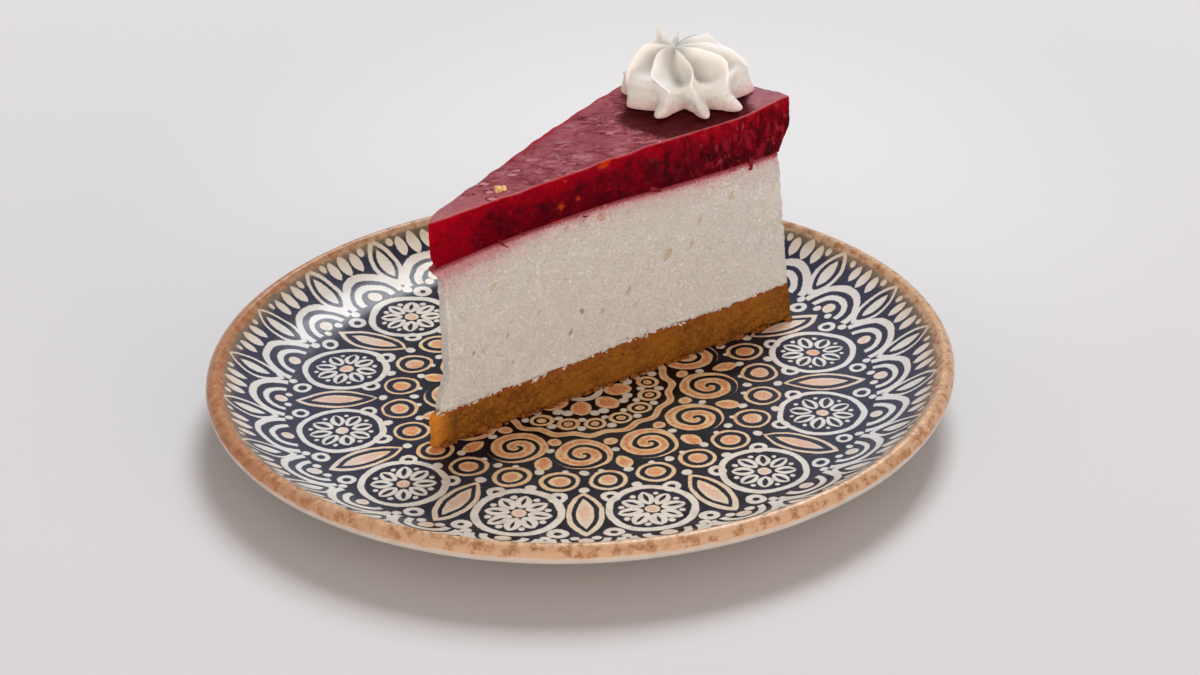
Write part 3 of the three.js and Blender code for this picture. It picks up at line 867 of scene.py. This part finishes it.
def make_jelly():
    def relief(points, t):
        waves = 0.10 * rough(points * (1, 1, 0.5), 6, 2, 81)
        fine = 0.02 * rough(points, 1.4, 2, 90)
        nick = rough(points * (1, 1, 0), 3.0, 3, 95, 0.65)
        notch, own = nearest_grain(points * (1, 1, 0), 9.0, 97)
        notches = smooth(0.13, 0.04, notch) * (own > 0.35) * smooth(0.93, 1, t)
        lift = smooth(0.9, 1, t) * (0.22 * nick - 0.05) - smooth(0.12, 0, t) * 0.30 * np.maximum(0, nick)
        near_far_cut = smooth(3.0, 1.0, from_far_cut(points))
        torn = near_far_cut * smooth(0.5, 0.9, t) * 0.5 * rough(points, 6.0, 3, 120, 0.6)
        return gentle(points, t, 0.14, 12) + waves + fine + torn - 0.6 * notches, lift - 0.4 * notches

    def top_relief(plan, share):
        points = np.concatenate([plan, 0 * plan[:, :1]], axis=1)
        world = to_world(plan, 0)
        calm = smooth(CREAM_CLEAR - 2, CREAM_CLEAR + 3, from_cream(plan))
        # dents drawn out along X, as the jelly was spread
        turned = np.stack([world[:, 0] / 2.4, world[:, 1], 0 * world[:, 0]], axis=1)
        dents = 0.05 * rough(turned, 2.0, 3, 101, 0.7)
        bead, own = nearest_grain(points, 4.2, 110)
        near_tip = smooth(46, 20, plan[:, 0])
        beads = 0.22 * smooth(0.34, 0.20, bead) * (own > 0.55) * lerp(0.25, 1, near_tip)
        return (dents + beads) * calm * smooth(1.0, 0.95, share)

    item = layer(
        "berry_jelly_set",
        levels=unit_levels(JELLY_LEVELS),
        plan_at=lambda t: slice_plan(1.2 + 1.3 * smooth(0.5, 0, t) ** 2, 4, 3.4 * smooth(0.55, 0, t)),
        inset_at=lambda t: 0.4 * smooth(0.14, 0, t) + 0.2 * smooth(0.96, 1, t),
        bottom=lambda plan: filling_top(plan) + GAP,
        top=jelly_top,
        relief=relief,
        top_shares=tuple(np.linspace(0.985, 0.03, 60)),
        top_relief=top_relief,
    )
    # the smooth cut faces come before the top in the mesh, and have their own material
    columns = sum(PLAN_COUNTS)
    index = np.zeros(len(item.data.polygons), dtype=np.int32)
    index[(len(CAP_SHARES) + JELLY_LEVELS - 1) * columns:] = 1
    index[-2 * columns:-columns] = 0
    item.data.polygons.foreach_set("material_index", index)
    return item


# Small things on the slice

def in_slice(u, v, height, top=None):
    """One point of the slice, at a height above its underside or above the top of a layer."""
    spot = np.array(((u, v),))
    return to_world(spot, height + (top(spot) if top else 0))[0]


def turned_in_cut(angle):
    """Axes along the near cut, up it and out of it, turned in it by an angle."""
    c = math.cos(SLICE_TURN)
    s = math.sin(SLICE_TURN)
    along, up, out = np.array(((c, s, 0), (0, 0, 1), (s, -c, 0)))
    return np.stack([along * math.cos(angle) + up * math.sin(angle),
                     up * math.cos(angle) - along * math.sin(angle), out])


def make_smears():
    """Rags of filling that the knife dragged over the top of the base."""
    random = np.random.default_rng(12)
    lumps = []
    for _ in range(240):
        u = random.uniform(1.5, 122.0)
        rise = random.normal(0.35, 0.55)
        reach = (random.uniform(0.3, 1.2), random.uniform(0.2, 0.45), random.uniform(0.16, 0.30))
        centre = in_slice(u, 0.14, rise, base_top)
        lumps.append((centre, reach, turned_in_cut(random.normal(0.1, 0.5))))
    values = {"below_top": 40.0, "from_tip": 60.0, "from_near_cut": 9.0, "height": 20.0}
    return lumps_mesh("filling_smears", lumps, 5, 0.5, values)


def make_crumbs():
    """Loose crumbs: reddish ones along the filling, pale ones at the base's foot."""
    random = np.random.default_rng(31)
    lumps = []
    for _ in range(60):
        u = random.uniform(1.0, 122.0)
        rise = random.normal(0.0, 0.45)
        size = random.uniform(0.2, 0.42)
        reach = (size * random.uniform(0.8, 1.8), size, size * 0.9)
        centre = in_slice(u, 0.2, rise, base_top)
        lumps.append((centre, reach, turned_in_cut(random.uniform(0, math.pi))))
    for _ in range(120):
        u = random.uniform(2.0, 123.0)
        size = abs(random.normal(0, 0.35)) + 0.2
        centre = in_slice(u, -random.uniform(-0.1, 0.5), size * 0.7 - GAP)
        reach = (size * random.uniform(0.9, 1.5), size, size)
        lumps.append((centre, reach, turned_in_cut(random.uniform(0, math.pi))))
    values = {"below_top": 1.0, "from_tip": 60.0, "from_near_cut": 9.0, "height": 5.0}
    return lumps_mesh("biscuit_crumbs", lumps, 6, 0.4, values)


# Grains of the crumb on the jelly: along the near cut, away from it, and size
TOP_CRUMB_GRAINS = ((27.2, 4.3, 1.15), (28.6, 4.0, 0.95), (27.9, 5.2, 0.8), (26.3, 3.7, 0.6))


def make_top_crumb():
    """The crumb that lies on the jelly near the tip, of grains stuck together."""
    lumps = []
    for u, v, size in TOP_CRUMB_GRAINS:
        reach = (size * 1.1, size * 0.9, size)
        lumps.append((in_slice(u, v, size * 0.5, jelly_top), reach, turned_in_cut(u)))
    return lumps_mesh("crumb_on_jelly", lumps, 9, 0.5)


# Threads of jelly on the near cut: half width, then points along the cut and up
DRIP_THREADS = (
    (0.24, ((24.0, 56.4), (24.4, 55.6), (25.0, 54.9), (25.9, 54.1), (26.7, 53.4))),
    (0.5, ((109.7, 55.2), (109.8, 54.0), (110.1, 52.9), (110.0, 52.2), (109.3, 52.0))),
    (0.6, ((75.4, 56.4), (76.4, 55.9), (77.3, 55.3), (78.2, 54.8))),
    (0.18, ((30.8, 56.6), (31.8, 56.0), (32.4, 55.6))),
    (0.16, ((52.0, 55.0), (53.0, 54.6), (53.9, 54.7))),
)


def make_drips():
    """Threads and a lump of jelly dragged down over the filling."""
    lumps = []
    for width, thread in DRIP_THREADS:
        line = np.array(thread)
        along = distance_along(line)
        for place in np.arange(0, along[-1], width * 0.6):
            u = np.interp(place, along, line[:, 0])
            height = np.interp(place, along, line[:, 1])
            size = width * lerp(1.5, 0.7, place / along[-1])
            lumps.append((in_slice(u, 0.12, height), (size, size, size), turned_in_cut(0)))
    values = {"below_top": 9.0, "from_tip": 60.0, "from_near_cut": 9.0, "height": 60.0}
    return lumps_mesh("jelly_drips", lumps, 14, 0.4, values)


def drip_material():
    nodes = Surface("jelly_drip", (122, 6, 24))
    nodes.coat(nodes.noise(1.5, 2), (82, 0, 14))
    nodes.shine(0.35, 0.2)
    return nodes.material


def top_crumb_material():
    nodes = Surface("top_crumb", (226, 196, 140))
    nodes.coat(nodes.spots(0.4, 0.65, 0.8, 3), (196, 150, 84))
    nodes.shine(0.8, 0.2)
    nodes.bump(nodes.noise(0.5, 3, 0.7) * 0.25)
    return nodes.material


def base_material():
    nodes = Surface("biscuit", (130, 79, 13))
    step, stray, spots, coat = nodes.step, nodes.stray, nodes.spots, nodes.coat
    coat(spots(0.35, 0.68, 9, 3, 0.55), (104, 60, 6))
    grain, own = nodes.grains(0.8)
    coat(step(0.4, 1.0, own) * 0.6, (146, 95, 26))
    coat(spots(0.50, 0.66, 1.3, 4, 0.75) * 0.5, (74, 36, 2))
    # browner and redder where it meets the filling, and paler at the tip, a painted highlight on its small
    # end face
    upper = step(2.6, 0.2, nodes.attribute("below_top") + stray(3.2, 2.0, 3, 0.6))
    coat(upper * 0.5, (134, 64, 26))
    coat(step(7, -0.5, nodes.attribute("from_tip")) * 0.75, (214, 136, 44))
    spot, spot_own = nodes.grains(6.5)
    dark_spot = step(0.13, 0.06, spot + stray(0.1, 0.7, 2)) * step(0.45, 0.5, spot_own)
    coat(dark_spot * 0.85, (70, 24, 8))
    nodes.shine(0.8, 0.2)
    nodes.bump((0.5 - grain) * 0.20 + nodes.noise(0.45, 3, 0.7) * 0.22)
    return nodes.material


# Flakes and fruit on the near cut: along it from the tip, up from the plate, half length, half width
PALE_FLAKES = (
    (80.3, 34.5, 2.6, 1.5), (21.2, 42.8, 1.8, 0.7), (91.6, 41.6, 1.9, 0.6), (88.7, 35.0, 1.4, 0.6),
    (90.0, 28.9, 1.2, 0.6), (103.0, 45.7, 1.5, 0.8), (17.3, 24.9, 1.2, 0.7), (26.6, 18.0, 1.0, 0.5),
    (68.7, 22.4, 1.2, 0.5), (57.4, 24.0, 0.9, 0.5), (36.0, 30.4, 0.9, 0.5), (44.0, 40.2, 1.0, 0.4),
)
BROWN_FLAKES = (
    (50.3, 26.2, 1.0, 0.9), (66.4, 27.6, 1.2, 0.4), (46.3, 20.9, 1.0, 0.4), (25.3, 26.6, 0.7, 0.4),
    (14.0, 24.8, 0.6, 0.4),
)
PINK_LUMPS = ((57.8, 53.2, 1.5, 1.9), (59.6, 56.0, 1.0, 0.5), (52.2, 53.9, 1.4, 0.5), (46.3, 53.0, 1.1, 0.5))
# the same in the jelly, each with its turn
ORANGE_FRUIT = ((59.4, 68.7, 2.0, 1.1, 0.2), (44.6, 60.3, 0.7, 1.0, 0.4), (50.2, 61.0, 0.5, 0.6, 0.0),
                (46.4, 67.6, 0.35, 0.35, 0.0))


def filling_material():
    nodes = Surface("filling", (255, 255, 252))
    step, stray, spots, coat = nodes.step, nodes.stray, nodes.spots, nodes.coat
    below = nodes.attribute("below_top")
    from_tip = nodes.attribute("from_tip")
    near = step(2.4, 1.2, nodes.attribute("from_near_cut"))
    coat(spots(0.35, 0.7, 7, 4, 0.6), (253, 251, 246))
    # curdled grain: pale flecks, and painted shade in the hollows of its bumps
    curl = nodes.noise(1.15, 4, 0.8, 1.6)
    coat(step(0.42, 0.34, curl) * 0.45, (222, 214, 198))
    coat(step(0.58, 0.66, curl) * 0.9, (255, 255, 254))
    coat(spots(0.62, 0.70, 2.2, 3, 0.6, 0.8) * 0.35, (228, 218, 186))
    coat(spots(0.66, 0.72, 0.7, 2, 0.6) * 0.5, (160, 146, 128))
    plane = Motif(nodes, from_tip + stray(1.3, 1.0, 2), nodes.attribute("height") + stray(1.3, 0.8, 2))

    def flakes(places, strength, rgb):
        """Flakes of curd or fruit where they show on the near cut."""
        shapes = [plane.oval(x, y, long * 0.85, wide * 0.85, 0.9) for x, y, long, wide in places]
        coat(step(0.35, -0.35, nodes.smaller(*shapes)) * near * strength, rgb)

    flakes(PALE_FLAKES, 0.6, (216, 201, 150))
    flakes(BROWN_FLAKES, 0.8, (176, 116, 66))
    # the jelly has bled into it, in specks
    ragged = stray(9.0, 0.8, 4, 0.8) + stray(4.0, 9, 2)
    reach = step(44, 4, from_tip) * 4.2
    coat(step(9.0, 1.0, below + ragged - reach) * 0.45, (246, 202, 208))
    coat(step(3.0, 0.2, below + ragged - reach * 0.6) * 0.70, (236, 142, 156))
    speck = spots(0.58, 0.65, 0.8, 3, 0.7) * step(6.0, 0.5, below - reach)
    coat(speck * 0.7, (150, 40, 56))
    coat(step(1.5, 0.2, below + stray(2.4, 0.8, 3, 0.7)) * 0.85, (178, 34, 56))
    flakes(PINK_LUMPS, 0.7, (236, 172, 156))
    nodes.shine(0.6, 0.35)
    nodes.bump(curl * 1.9 + nodes.noise(0.6, 3, 0.7) * 0.5)
    return nodes.material


def jelly_cut_material():
    nodes = Surface("jelly_cut", (104, 0, 16))
    step, stray, spots, coat = nodes.step, nodes.stray, nodes.spots, nodes.coat
    below = nodes.attribute("below_top")
    along = nodes.attribute("from_tip")
    clouds = nodes.noise(6, 3, 0.6, 0.6)
    coat(step(0.36, 0.66, clouds), (60, 0, 10))
    # light comes through the thin tip and along the upper edge
    coat(step(6.5, 0.5, below + stray(7.0, 4, 3)) * 0.65, (152, 0, 22))
    coat(step(26, -3, along + (clouds - 0.5) * 14.0 + (6.0 - below) * 0.8) * 0.9, (156, 0, 20))
    # painted shade: darker deeper down, away from the top where light comes in
    coat(step(4, 13, below + (clouds - 0.5) * 8.0) * 0.5, (60, 0, 12))
    fibres = nodes.noise(1.5, 4, 0.65, 1.0)
    coat(step(0.50, 0.68, fibres) * 0.45, (40, 0, 6))
    coat(step(0.44, 0.30, fibres) * 0.35, (178, 8, 30))
    # cut fruit towards the back
    fruit = nodes.noise(2.6, 3, 0.55, 0.5, nodes.stretched(1.0, 1.0, 2.0, SLICE_TURN))
    coat(step(0.50, 0.62, fruit) * step(50, 96, along) * 0.65, (38, 0, 6))
    coat(step(0.47, 0.38, fruit) * step(66, 108, along) * 0.4, (150, 26, 40))
    # painted highlights: small pale glints on the wet cut towards the back
    painted_glints = spots(0.60, 0.70, 2.1, 3, 0.5, 0.4, nodes.stretched(1.0, 1.0, 1.8, SLICE_TURN))
    coat(painted_glints * step(60, 100, along) * 0.35, (168, 60, 66))
    # a painted highlight along the top edge of the cut
    coat(step(0.55, 0.2, below + stray(0.6, 3, 3)) * 0.4, (190, 84, 92))
    height = nodes.attribute("height")
    plane = Motif(nodes, along + stray(4.5, 1.0, 4, 0.7), height + stray(2.2, 0.8, 4, 0.7))
    orange = nodes.smaller(*[plane.oval(*place) for place in ORANGE_FRUIT])
    coat(step(0.5, -0.4, orange) * 0.6, (184, 62, 14))
    nodes.shine(0.2, 0.06, 1.36)
    nodes.scatter(0.75, (1.0, 0.02, 0.03), 2.2)
    nodes.bump(nodes.noise(2.4, 3, 0.5) * 0.14)
    return nodes.material


def jelly_top_material():
    # its mauve is a painted reflection of the bright room over the red jelly
    nodes = Surface("jelly_top", (146, 76, 86))
    step, stray, spots, coat = nodes.step, nodes.stray, nodes.spots, nodes.coat
    from_tip = nodes.attribute("from_tip")
    clouds = nodes.noise(9, 3, 0.5, 0.4)
    coat(step(0.38, 0.70, clouds), (130, 60, 71))
    # pale and dark ripples, mostly in patches: a painted reflection on the wavy top
    back = step(30, 66, from_tip + (clouds - 0.5) * 30.0)
    patches = spots(0.40, 0.62, 13, 3) * (back * 0.75 + 0.25)
    swell = nodes.noise(5.5, 3, 0.6, 1.2, nodes.stretched(1.6, 1.0, 1.0))
    coat(step(0.56, 0.64, swell) * 0.55, (104, 22, 38))
    coat(step(0.42, 0.34, swell) * 0.45, (176, 118, 124))
    ripples = nodes.noise(2.3, 5, 0.72, 1.4, nodes.stretched(1.9, 1.0, 1.0))
    coat(step(0.52, 0.56, ripples) * (patches * 0.85 + 0.12), (80, 2, 18))
    coat(step(0.44, 0.40, ripples) * (patches * 0.75 + 0.10), (192, 138, 140))
    # painted reflection, paler towards the tip
    coat(step(34, 4, from_tip) * 0.4, (186, 126, 128))
    # small beads, each with a painted highlight and a dark ring
    bead, own = nodes.grains(4.2, nodes.stretched(1.7, 1.0, 1.0))
    beads = step(0.42, 0.46, own) * (step(60, 24, from_tip) * 0.8 + 0.2)
    bead = bead + stray(0.6, 1.6, 3, 0.7) + (own - 0.7) * 0.25
    coat(step(0.28, 0.20, bead) * beads * 0.6, (206, 152, 152))
    coat(step(0.07, 0.03, abs(bead - 0.30)) * beads * 0.8, (100, 10, 26))
    # a painted reflection, paler at the back, and the cream's painted shadow, dark and without reflection,
    # in front of it
    coat(step(106, 116, from_tip + (clouds - 0.5) * 12.0) * 0.5, (176, 124, 132))
    from_shade = nodes.plan().reach(CREAM_CENTRE[0] - 0.5, CREAM_CENTRE[1] - 11.5)
    coat(step(20.5, 17.5, from_shade + (clouds - 0.5) * 8.0) * 0.95, (66, 0, 6))
    # light comes through the far cut into the edge, and lies on the near one
    far_edge = step(2.2, 0.9, nodes.attribute("from_far_cut") + stray(3.0, 7, 3)) * back
    coat(far_edge * 0.75, (164, 10, 26))
    near_edge = step(0.7, 0.3, nodes.attribute("from_near_cut") + stray(0.6, 3, 3))
    coat(near_edge * 0.4, (206, 146, 146))
    nodes.shine(0.22, 0.025, 1.42)
    nodes.scatter(0.3, (1.0, 0.1, 0.12), 0.7)
    nodes.bump(ripples * (patches * 0.5 + 0.2) + step(0.36, 0.14, bead) * beads * 0.2)
    return nodes.material


# The cream rosette

CREAM_CENTRE = (33.2, 45.4)
CREAM_CLEAR = 22.0
CREAM_HEIGHT = 14.8
# Its ten ridges, anticlockwise from the right
RIDGE_VALUES = {
    # directions in degrees: at the foot, at the waist 9 mm up, at the brow where it turns in, and inside
    "foot": (-1, 30, 66, 102, 138, 173, 207, 244, 284, 316),
    "waist": (0, 34, 68, 104, 137, 174, 206, 248, 273, 314),
    "brow": (-3, 46, 68, 104, 132, 176, 203, 231, 275, 316),
    "top": (-8, 44, 60, 84, 134, 176, 188, 224, 268, 304),
    # how far the foot, the waist and the brow stand out, and the brow's height as a share of the usual one
    "reach": (19.1, 17.6, 17.2, 17.6, 18.2, 18.7, 19.2, 16.4, 15.2, 16.8),
    "body": (17.0, 16.4, 16.0, 16.2, 16.8, 17.6, 18.9, 15.4, 13.9, 15.8),
    "brow_reach": (13.4, 12.4, 12.6, 12.6, 12.2, 12.6, 16.4, 16.0, 14.3, 15.0),
    "tall": (0.88, 0.82, 0.79, 0.82, 0.86, 0.66, 0.93, 0.81, 0.95, 1.0),
    # how far the foot's rounded toe stands out beyond the rest
    "finger": (0, 0, 0, 0, 0, 0, 0, 4.8, 5.0, 4.0),
    # a drawn-out peak: how far it rises, its share of the way from the underside to the top, and its
    # width as a share of the way to the next ridge
    "wisp": (0.3, 1.6, 1.2, 2.2, 3.6, 0, 0, 0, 0, 0),
    "wisp_at": (0.85, 0.78, 0.80, 0.88, 0.80, 0.85, 0.85, 0.85, 0.85, 0.85),
    "wisp_width": (0.06, 0.07, 0.07, 0.09, 0.20, 0.06, 0.06, 0.06, 0.06, 0.06),
    # the hollow after it: its radii at the jelly and higher up, the height at which it turns in, and
    # its share of the way to the next ridge
    "root": (13.0, 12.6, 12.4, 12.8, 13.4, 15.0, 14.8, 10.4, 11.8, 13.4),
    "belly": (13.6, 12.6, 12.6, 12.8, 13.6, 14.6, 15.2, 13.0, 12.0, 14.0),
    "shelf": (8.6, 8.6, 8.6, 8.6, 8.2, 7.2, 9.4, 7.8, 8.4, 9.0),
    "crease": (0.5, 0.5, 0.5, 0.5, 0.5, 0.5, 0.70, 0.5, 0.38, 0.42),
}
RIDGES = [dict(zip(RIDGE_VALUES, values)) for values in zip(*RIDGE_VALUES.values())]
TOP_SHIFT = (-2.9, 0.3)  # how far the top was drawn aside as the nozzle was lifted
RIDGE_HEIGHTS = [0, 0, 0, 0.5, 3, 6, 8.8, 11.4, 13.8, 15.9, 16.8, 16.3, CREAM_HEIGHT]
TOE_HEIGHT = 5.4
TOE_HALF_WIDTH = 1.9
COLUMNS_PER_RIDGE = 48
CREAM_ROWS = 150


def ridge_line(ridge, t):
    """Direction, radius and height along a ridge's crest."""
    foot, waist, brow, top = (ridge[key] for key in ("foot", "waist", "brow", "top"))
    directions = [foot] * 5 + [lerp(foot, waist, 0.45), waist, lerp(waist, brow, 0.6), brow,
                               lerp(brow, top, 0.22), lerp(brow, top, 0.65), top, top]
    reach, body, high = ridge["reach"], ridge["body"], ridge["brow_reach"]
    radii = [0, 0.45 * reach, 0.85 * reach, reach, lerp(reach, body, 0.3), lerp(reach, body, 0.75), body,
             lerp(body, high, 0.4), high, 0.86 * high, 0.60 * high, 0.30 * high, 0]
    lower = lerp(1, ridge["tall"], smooth(0.3, 0.55, t) * smooth(0.98, 0.74, t))
    return curve_value(directions, t), curve_value(radii, t), curve_value(RIDGE_HEIGHTS, t) * lower


def hollow_line(ridge, t):
    """Radius and height along the hollow after a ridge."""
    belly, root, shelf = ridge["belly"], ridge["root"], ridge["shelf"]
    radii = [0, 0.45 * root, 0.85 * root, root, lerp(root, belly, 0.35), lerp(root, belly, 0.85),
             1.03 * belly, 0.98 * belly, 0.78 * belly, 0.50 * belly, 0.30 * belly, 0.16 * belly, 0]
    heights = [0, 0, 0, 0.4, 0.3 * shelf, 0.60 * shelf, 0.86 * shelf, shelf, shelf - 0.2,
               shelf - 0.9, shelf, shelf + 2.4, CREAM_HEIGHT]
    return curve_value(radii, t), curve_value(heights, t)


def cream_columns(index, t):
    """The columns from one ridge to just before the next: x, y, z, how near a lip, how deep in a hollow."""
    here = RIDGES[index]
    after = RIDGES[(index + 1) % len(RIDGES)]
    turn = 360 if index + 1 == len(RIDGES) else 0
    t = t[:, None]
    even = (np.arange(COLUMNS_PER_RIDGE) / COLUMNS_PER_RIDGE)[None, :]
    share = lerp(even, (1 - np.cos(np.pi * even)) / 2, 0.6)
    here_angle, here_radius, here_height = ridge_line(here, t)
    after_angle, after_radius, after_height = ridge_line(after, t)
    angle = np.radians(lerp(here_angle, after_angle + turn, share))
    crease = lerp(here["crease"], lerp(here["crease"], 0.5, 0.6), smooth(0.5, 0.75, t))
    first_part = share < crease
    crest_radius = np.where(first_part, here_radius, after_radius)
    crest_height = np.where(first_part, here_height, after_height)
    hollow_radius, hollow_height = hollow_line(here, t)
    to_hollow = np.where(first_part, share / crease, (1 - share) / (1 - crease))
    blunt = lerp(0.22, 0.03, smooth(0.40, 0.60, t))
    to_hollow = (np.sqrt(to_hollow ** 2 + blunt ** 2) - blunt) / (np.sqrt(1 + blunt ** 2) - blunt)
    sharpness = lerp(1.4, 3.0, smooth(0.45, 0.66, t))
    weight = (1 - to_hollow) ** sharpness
    radius = lerp(hollow_radius, crest_radius, weight)
    height = lerp(hollow_height, crest_height, weight)
    span = np.radians(after_angle + turn - here_angle) * np.maximum(crest_radius, 4)
    edge = 0 * angle
    for ridge, way in ((here, share), (after, 1 - share)):
        across = way * span
        lip = bell(across / 0.5) * smooth(0.42, 0.54, t) * smooth(0.94, 0.84, t)
        radius = radius + 0.6 * lip
        height = height + 0.6 * lip
        toe = np.maximum(0, 1 - (across / TOE_HALF_WIDTH) ** 2) ** 0.5
        toe_rise = smooth(TOE_HEIGHT, 1.6, height) * smooth(-1.4, 1.8, height)
        spoon = 0.6 * bell(across / 1.1) * bell((height - 3.6) / 1.6) * (ridge["finger"] > 0)
        radius = radius + (ridge["finger"] * toe * toe_rise - spoon) * smooth(0.19, 0.24, t)
        width = ridge["wisp_width"]
        beside = np.abs(way / width) ** 1.2
        apart = np.abs((t - ridge["wisp_at"]) / (0.5 * width)) ** 1.4
        height = height + ridge["wisp"] * (np.exp(-beside) * np.exp(-apart))
        edge = edge + lip
    cup = (1 - weight) * smooth(0.50, 0.66, t)
    drawn = smooth(0.68, 0.95, t)
    x = radius * np.cos(angle) + TOP_SHIFT[0] * drawn
    y = radius * np.sin(angle) + TOP_SHIFT[1] * drawn
    return np.stack([x, y, height + 0 * angle, edge, cup + 0 * angle], axis=-1)


def make_cream():
    t = np.linspace(0, 1, CREAM_ROWS)
    rows = np.concatenate([cream_columns(index, t) for index in range(len(RIDGES))], axis=1)
    edge = rows[..., 3]
    cup = rows[..., 4]
    rows = rows[..., :3]
    up = smooth(0.16, 0.3, t)[:, None]
    rows[..., 2] = np.maximum(0, rows[..., 2])
    wrinkle = 0.20 * rough(rows, 3.4, 3, 7) * up
    pores = 0.05 * rough(rows, 0.8, 2, 9) * up * smooth(11, 4, rows[..., 2])
    out = rows.copy()
    out[..., 2] -= 6
    out /= np.maximum(1e-6, np.linalg.norm(out, axis=-1))[..., None]
    rows = rows + out * (wrinkle + pores)[..., None]
    x = rows[..., 0] + CREAM_CENTRE[0]
    y = rows[..., 1] + CREAM_CENTRE[1]
    ground = REST_HEIGHT + jelly_top(to_slice(x, y)) + GAP
    world = np.stack([x, y, ground + np.maximum(0, rows[..., 2])], axis=-1)
    world[0] = world[0].mean(axis=0)
    world[-1] = world[-1].mean(axis=0)
    values = {"above_jelly": np.maximum(0, rows[..., 2]), "lip": edge, "cup": cup}
    return ring_mesh("cream_rosette_piped", world, values)


def cream_material():
    nodes = Surface("cream", (209, 212, 210))
    step, coat = nodes.step, nodes.coat
    above = nodes.attribute("above_jelly")
    coat(nodes.spots(0.4, 0.7, 4, 3), (202, 204, 201))
    # painted light in the cups
    coat(nodes.attribute("cup") * 0.75, (222, 222, 217))
    # a painted highlight on the lips
    coat(nodes.attribute("lip") * 0.9, (244, 243, 240))
    # painted reflected light: pink from the red jelly low on the cream
    coat(step(5.0, 0.3, above + nodes.stray(5.0, 1.6, 4, 0.7)) * 0.6, (208, 166, 164))
    # painted shade in the small pores low on the cream
    pore, own = nodes.grains(0.8)
    pores = step(0.36, 0.18, pore) * step(0.50, 0.52, own) * step(10, 3, above)
    coat(pores * 0.55, (172, 146, 134))
    nodes.shine(0.6, 0.25)
    nodes.scatter(0.5, (1.0, 0.8, 0.62), 1.4)
    nodes.bump(nodes.noise(1.0, 3, 0.6) * 0.12 - pores * 0.10, 0.9)
    return nodes.material


# Floor and light: linear colours, and the lamp in metres

PAPER = ((0.615, 0.62, 0.63), (0.635, 0.635, 0.645))
# the paper where a pool of light is painted on it
PAPER_IN_PAINTED_LIGHT = (0.725, 0.73, 0.74)
ROOM_FRONT = (4.35, 3.66, 3.20)
ROOM_SIDE = (0.56, 0.50, 0.47)
ROOM_BACK = (0.46, 0.45, 0.47)
ROOM_ABOVE = (0.36, 0.32, 0.31)
FRONT_DIRECTION = (0.12, -0.99)
LAMP_AT = (0.65, 2.15, 3.05)
LAMP_AIM = (0, 0, 0.03)
LAMP_SIZE = (1.5, 2.0)
LAMP_POWER = 118.0
LAMP_COLOUR = (0.92, 0.96, 1.0)


def make_floor():
    half = 6000.0
    corners = np.array(((-half, -half, 0), (half, -half, 0), (half, half, 0), (-half, half, 0)))
    floor = make_mesh("floor", corners, [(0, 1, 2, 3)])
    nodes = Surface("floor_paper")
    # a painted pool of light on the paper behind the plate
    painted_light_pool = nodes.step(190, 40, nodes.plan().reach(25, 135)) * 0.9
    nodes.paint = nodes.mix(painted_light_pool, nodes.mix(nodes.noise(900, 1), *PAPER), PAPER_IN_PAINTED_LIGHT)
    nodes.shine(0.9, 0.1)
    floor.data.materials.append(nodes.material)


def make_light():
    """A room that is bright low down and duller overhead, warm in front, with one soft lamp high behind."""
    world = bpy.data.worlds.new("studio")
    nodes = Nodes(world, "ShaderNodeBackground", "ShaderNodeOutputWorld", "Generated")
    _, back, up = nodes.split()
    inputs = {0: nodes.place, 1: FRONT_DIRECTION + (0,)}
    front = nodes.add("ShaderNodeVectorMath", inputs, operation="DOT_PRODUCT").outputs["Value"]
    walls = nodes.mix(nodes.step(0.1, 0.7, back), ROOM_SIDE, ROOM_BACK)
    walls = nodes.mix(nodes.step(0.15, 0.75, front), walls, ROOM_FRONT)
    nodes.set("Color", nodes.mix(nodes.step(0.10, 0.65, up), walls, ROOM_ABOVE))
    bpy.context.scene.world = world

    data = bpy.data.lights.new("softbox", "AREA")
    data.shape = "RECTANGLE"
    data.size, data.size_y = LAMP_SIZE
    data.energy = LAMP_POWER
    data.color = LAMP_COLOUR
    lamp = bpy.data.objects.new("softbox", data)
    lamp.location = LAMP_AT
    aim = Vector(LAMP_AIM) - lamp.location
    lamp.rotation_mode = "QUATERNION"
    lamp.rotation_quaternion = aim.to_track_quat("-Z", "Y")
    bpy.context.scene.collection.objects.link(lamp)

    view = bpy.context.scene.view_settings
    view.view_transform = "Standard"
    view.look = "None"


make_camera()
place_piece(make_plate(), [plate_material()], "plate")
biscuit = base_material()
filling = filling_material()
jelly_cut = jelly_cut_material()
place_piece(make_base(), [biscuit], "biscuit_base")
place_piece(make_crumbs(), [biscuit])
place_piece(make_filling(), [filling], "cheese_filling")
place_piece(make_smears(), [filling])
place_piece(make_jelly(), [jelly_cut, jelly_top_material()], "berry_jelly")
place_piece(make_drips(), [drip_material()])
place_piece(make_top_crumb(), [top_crumb_material()])
place_piece(make_cream(), [cream_material()], "cream_rosette")
make_floor()
make_light()
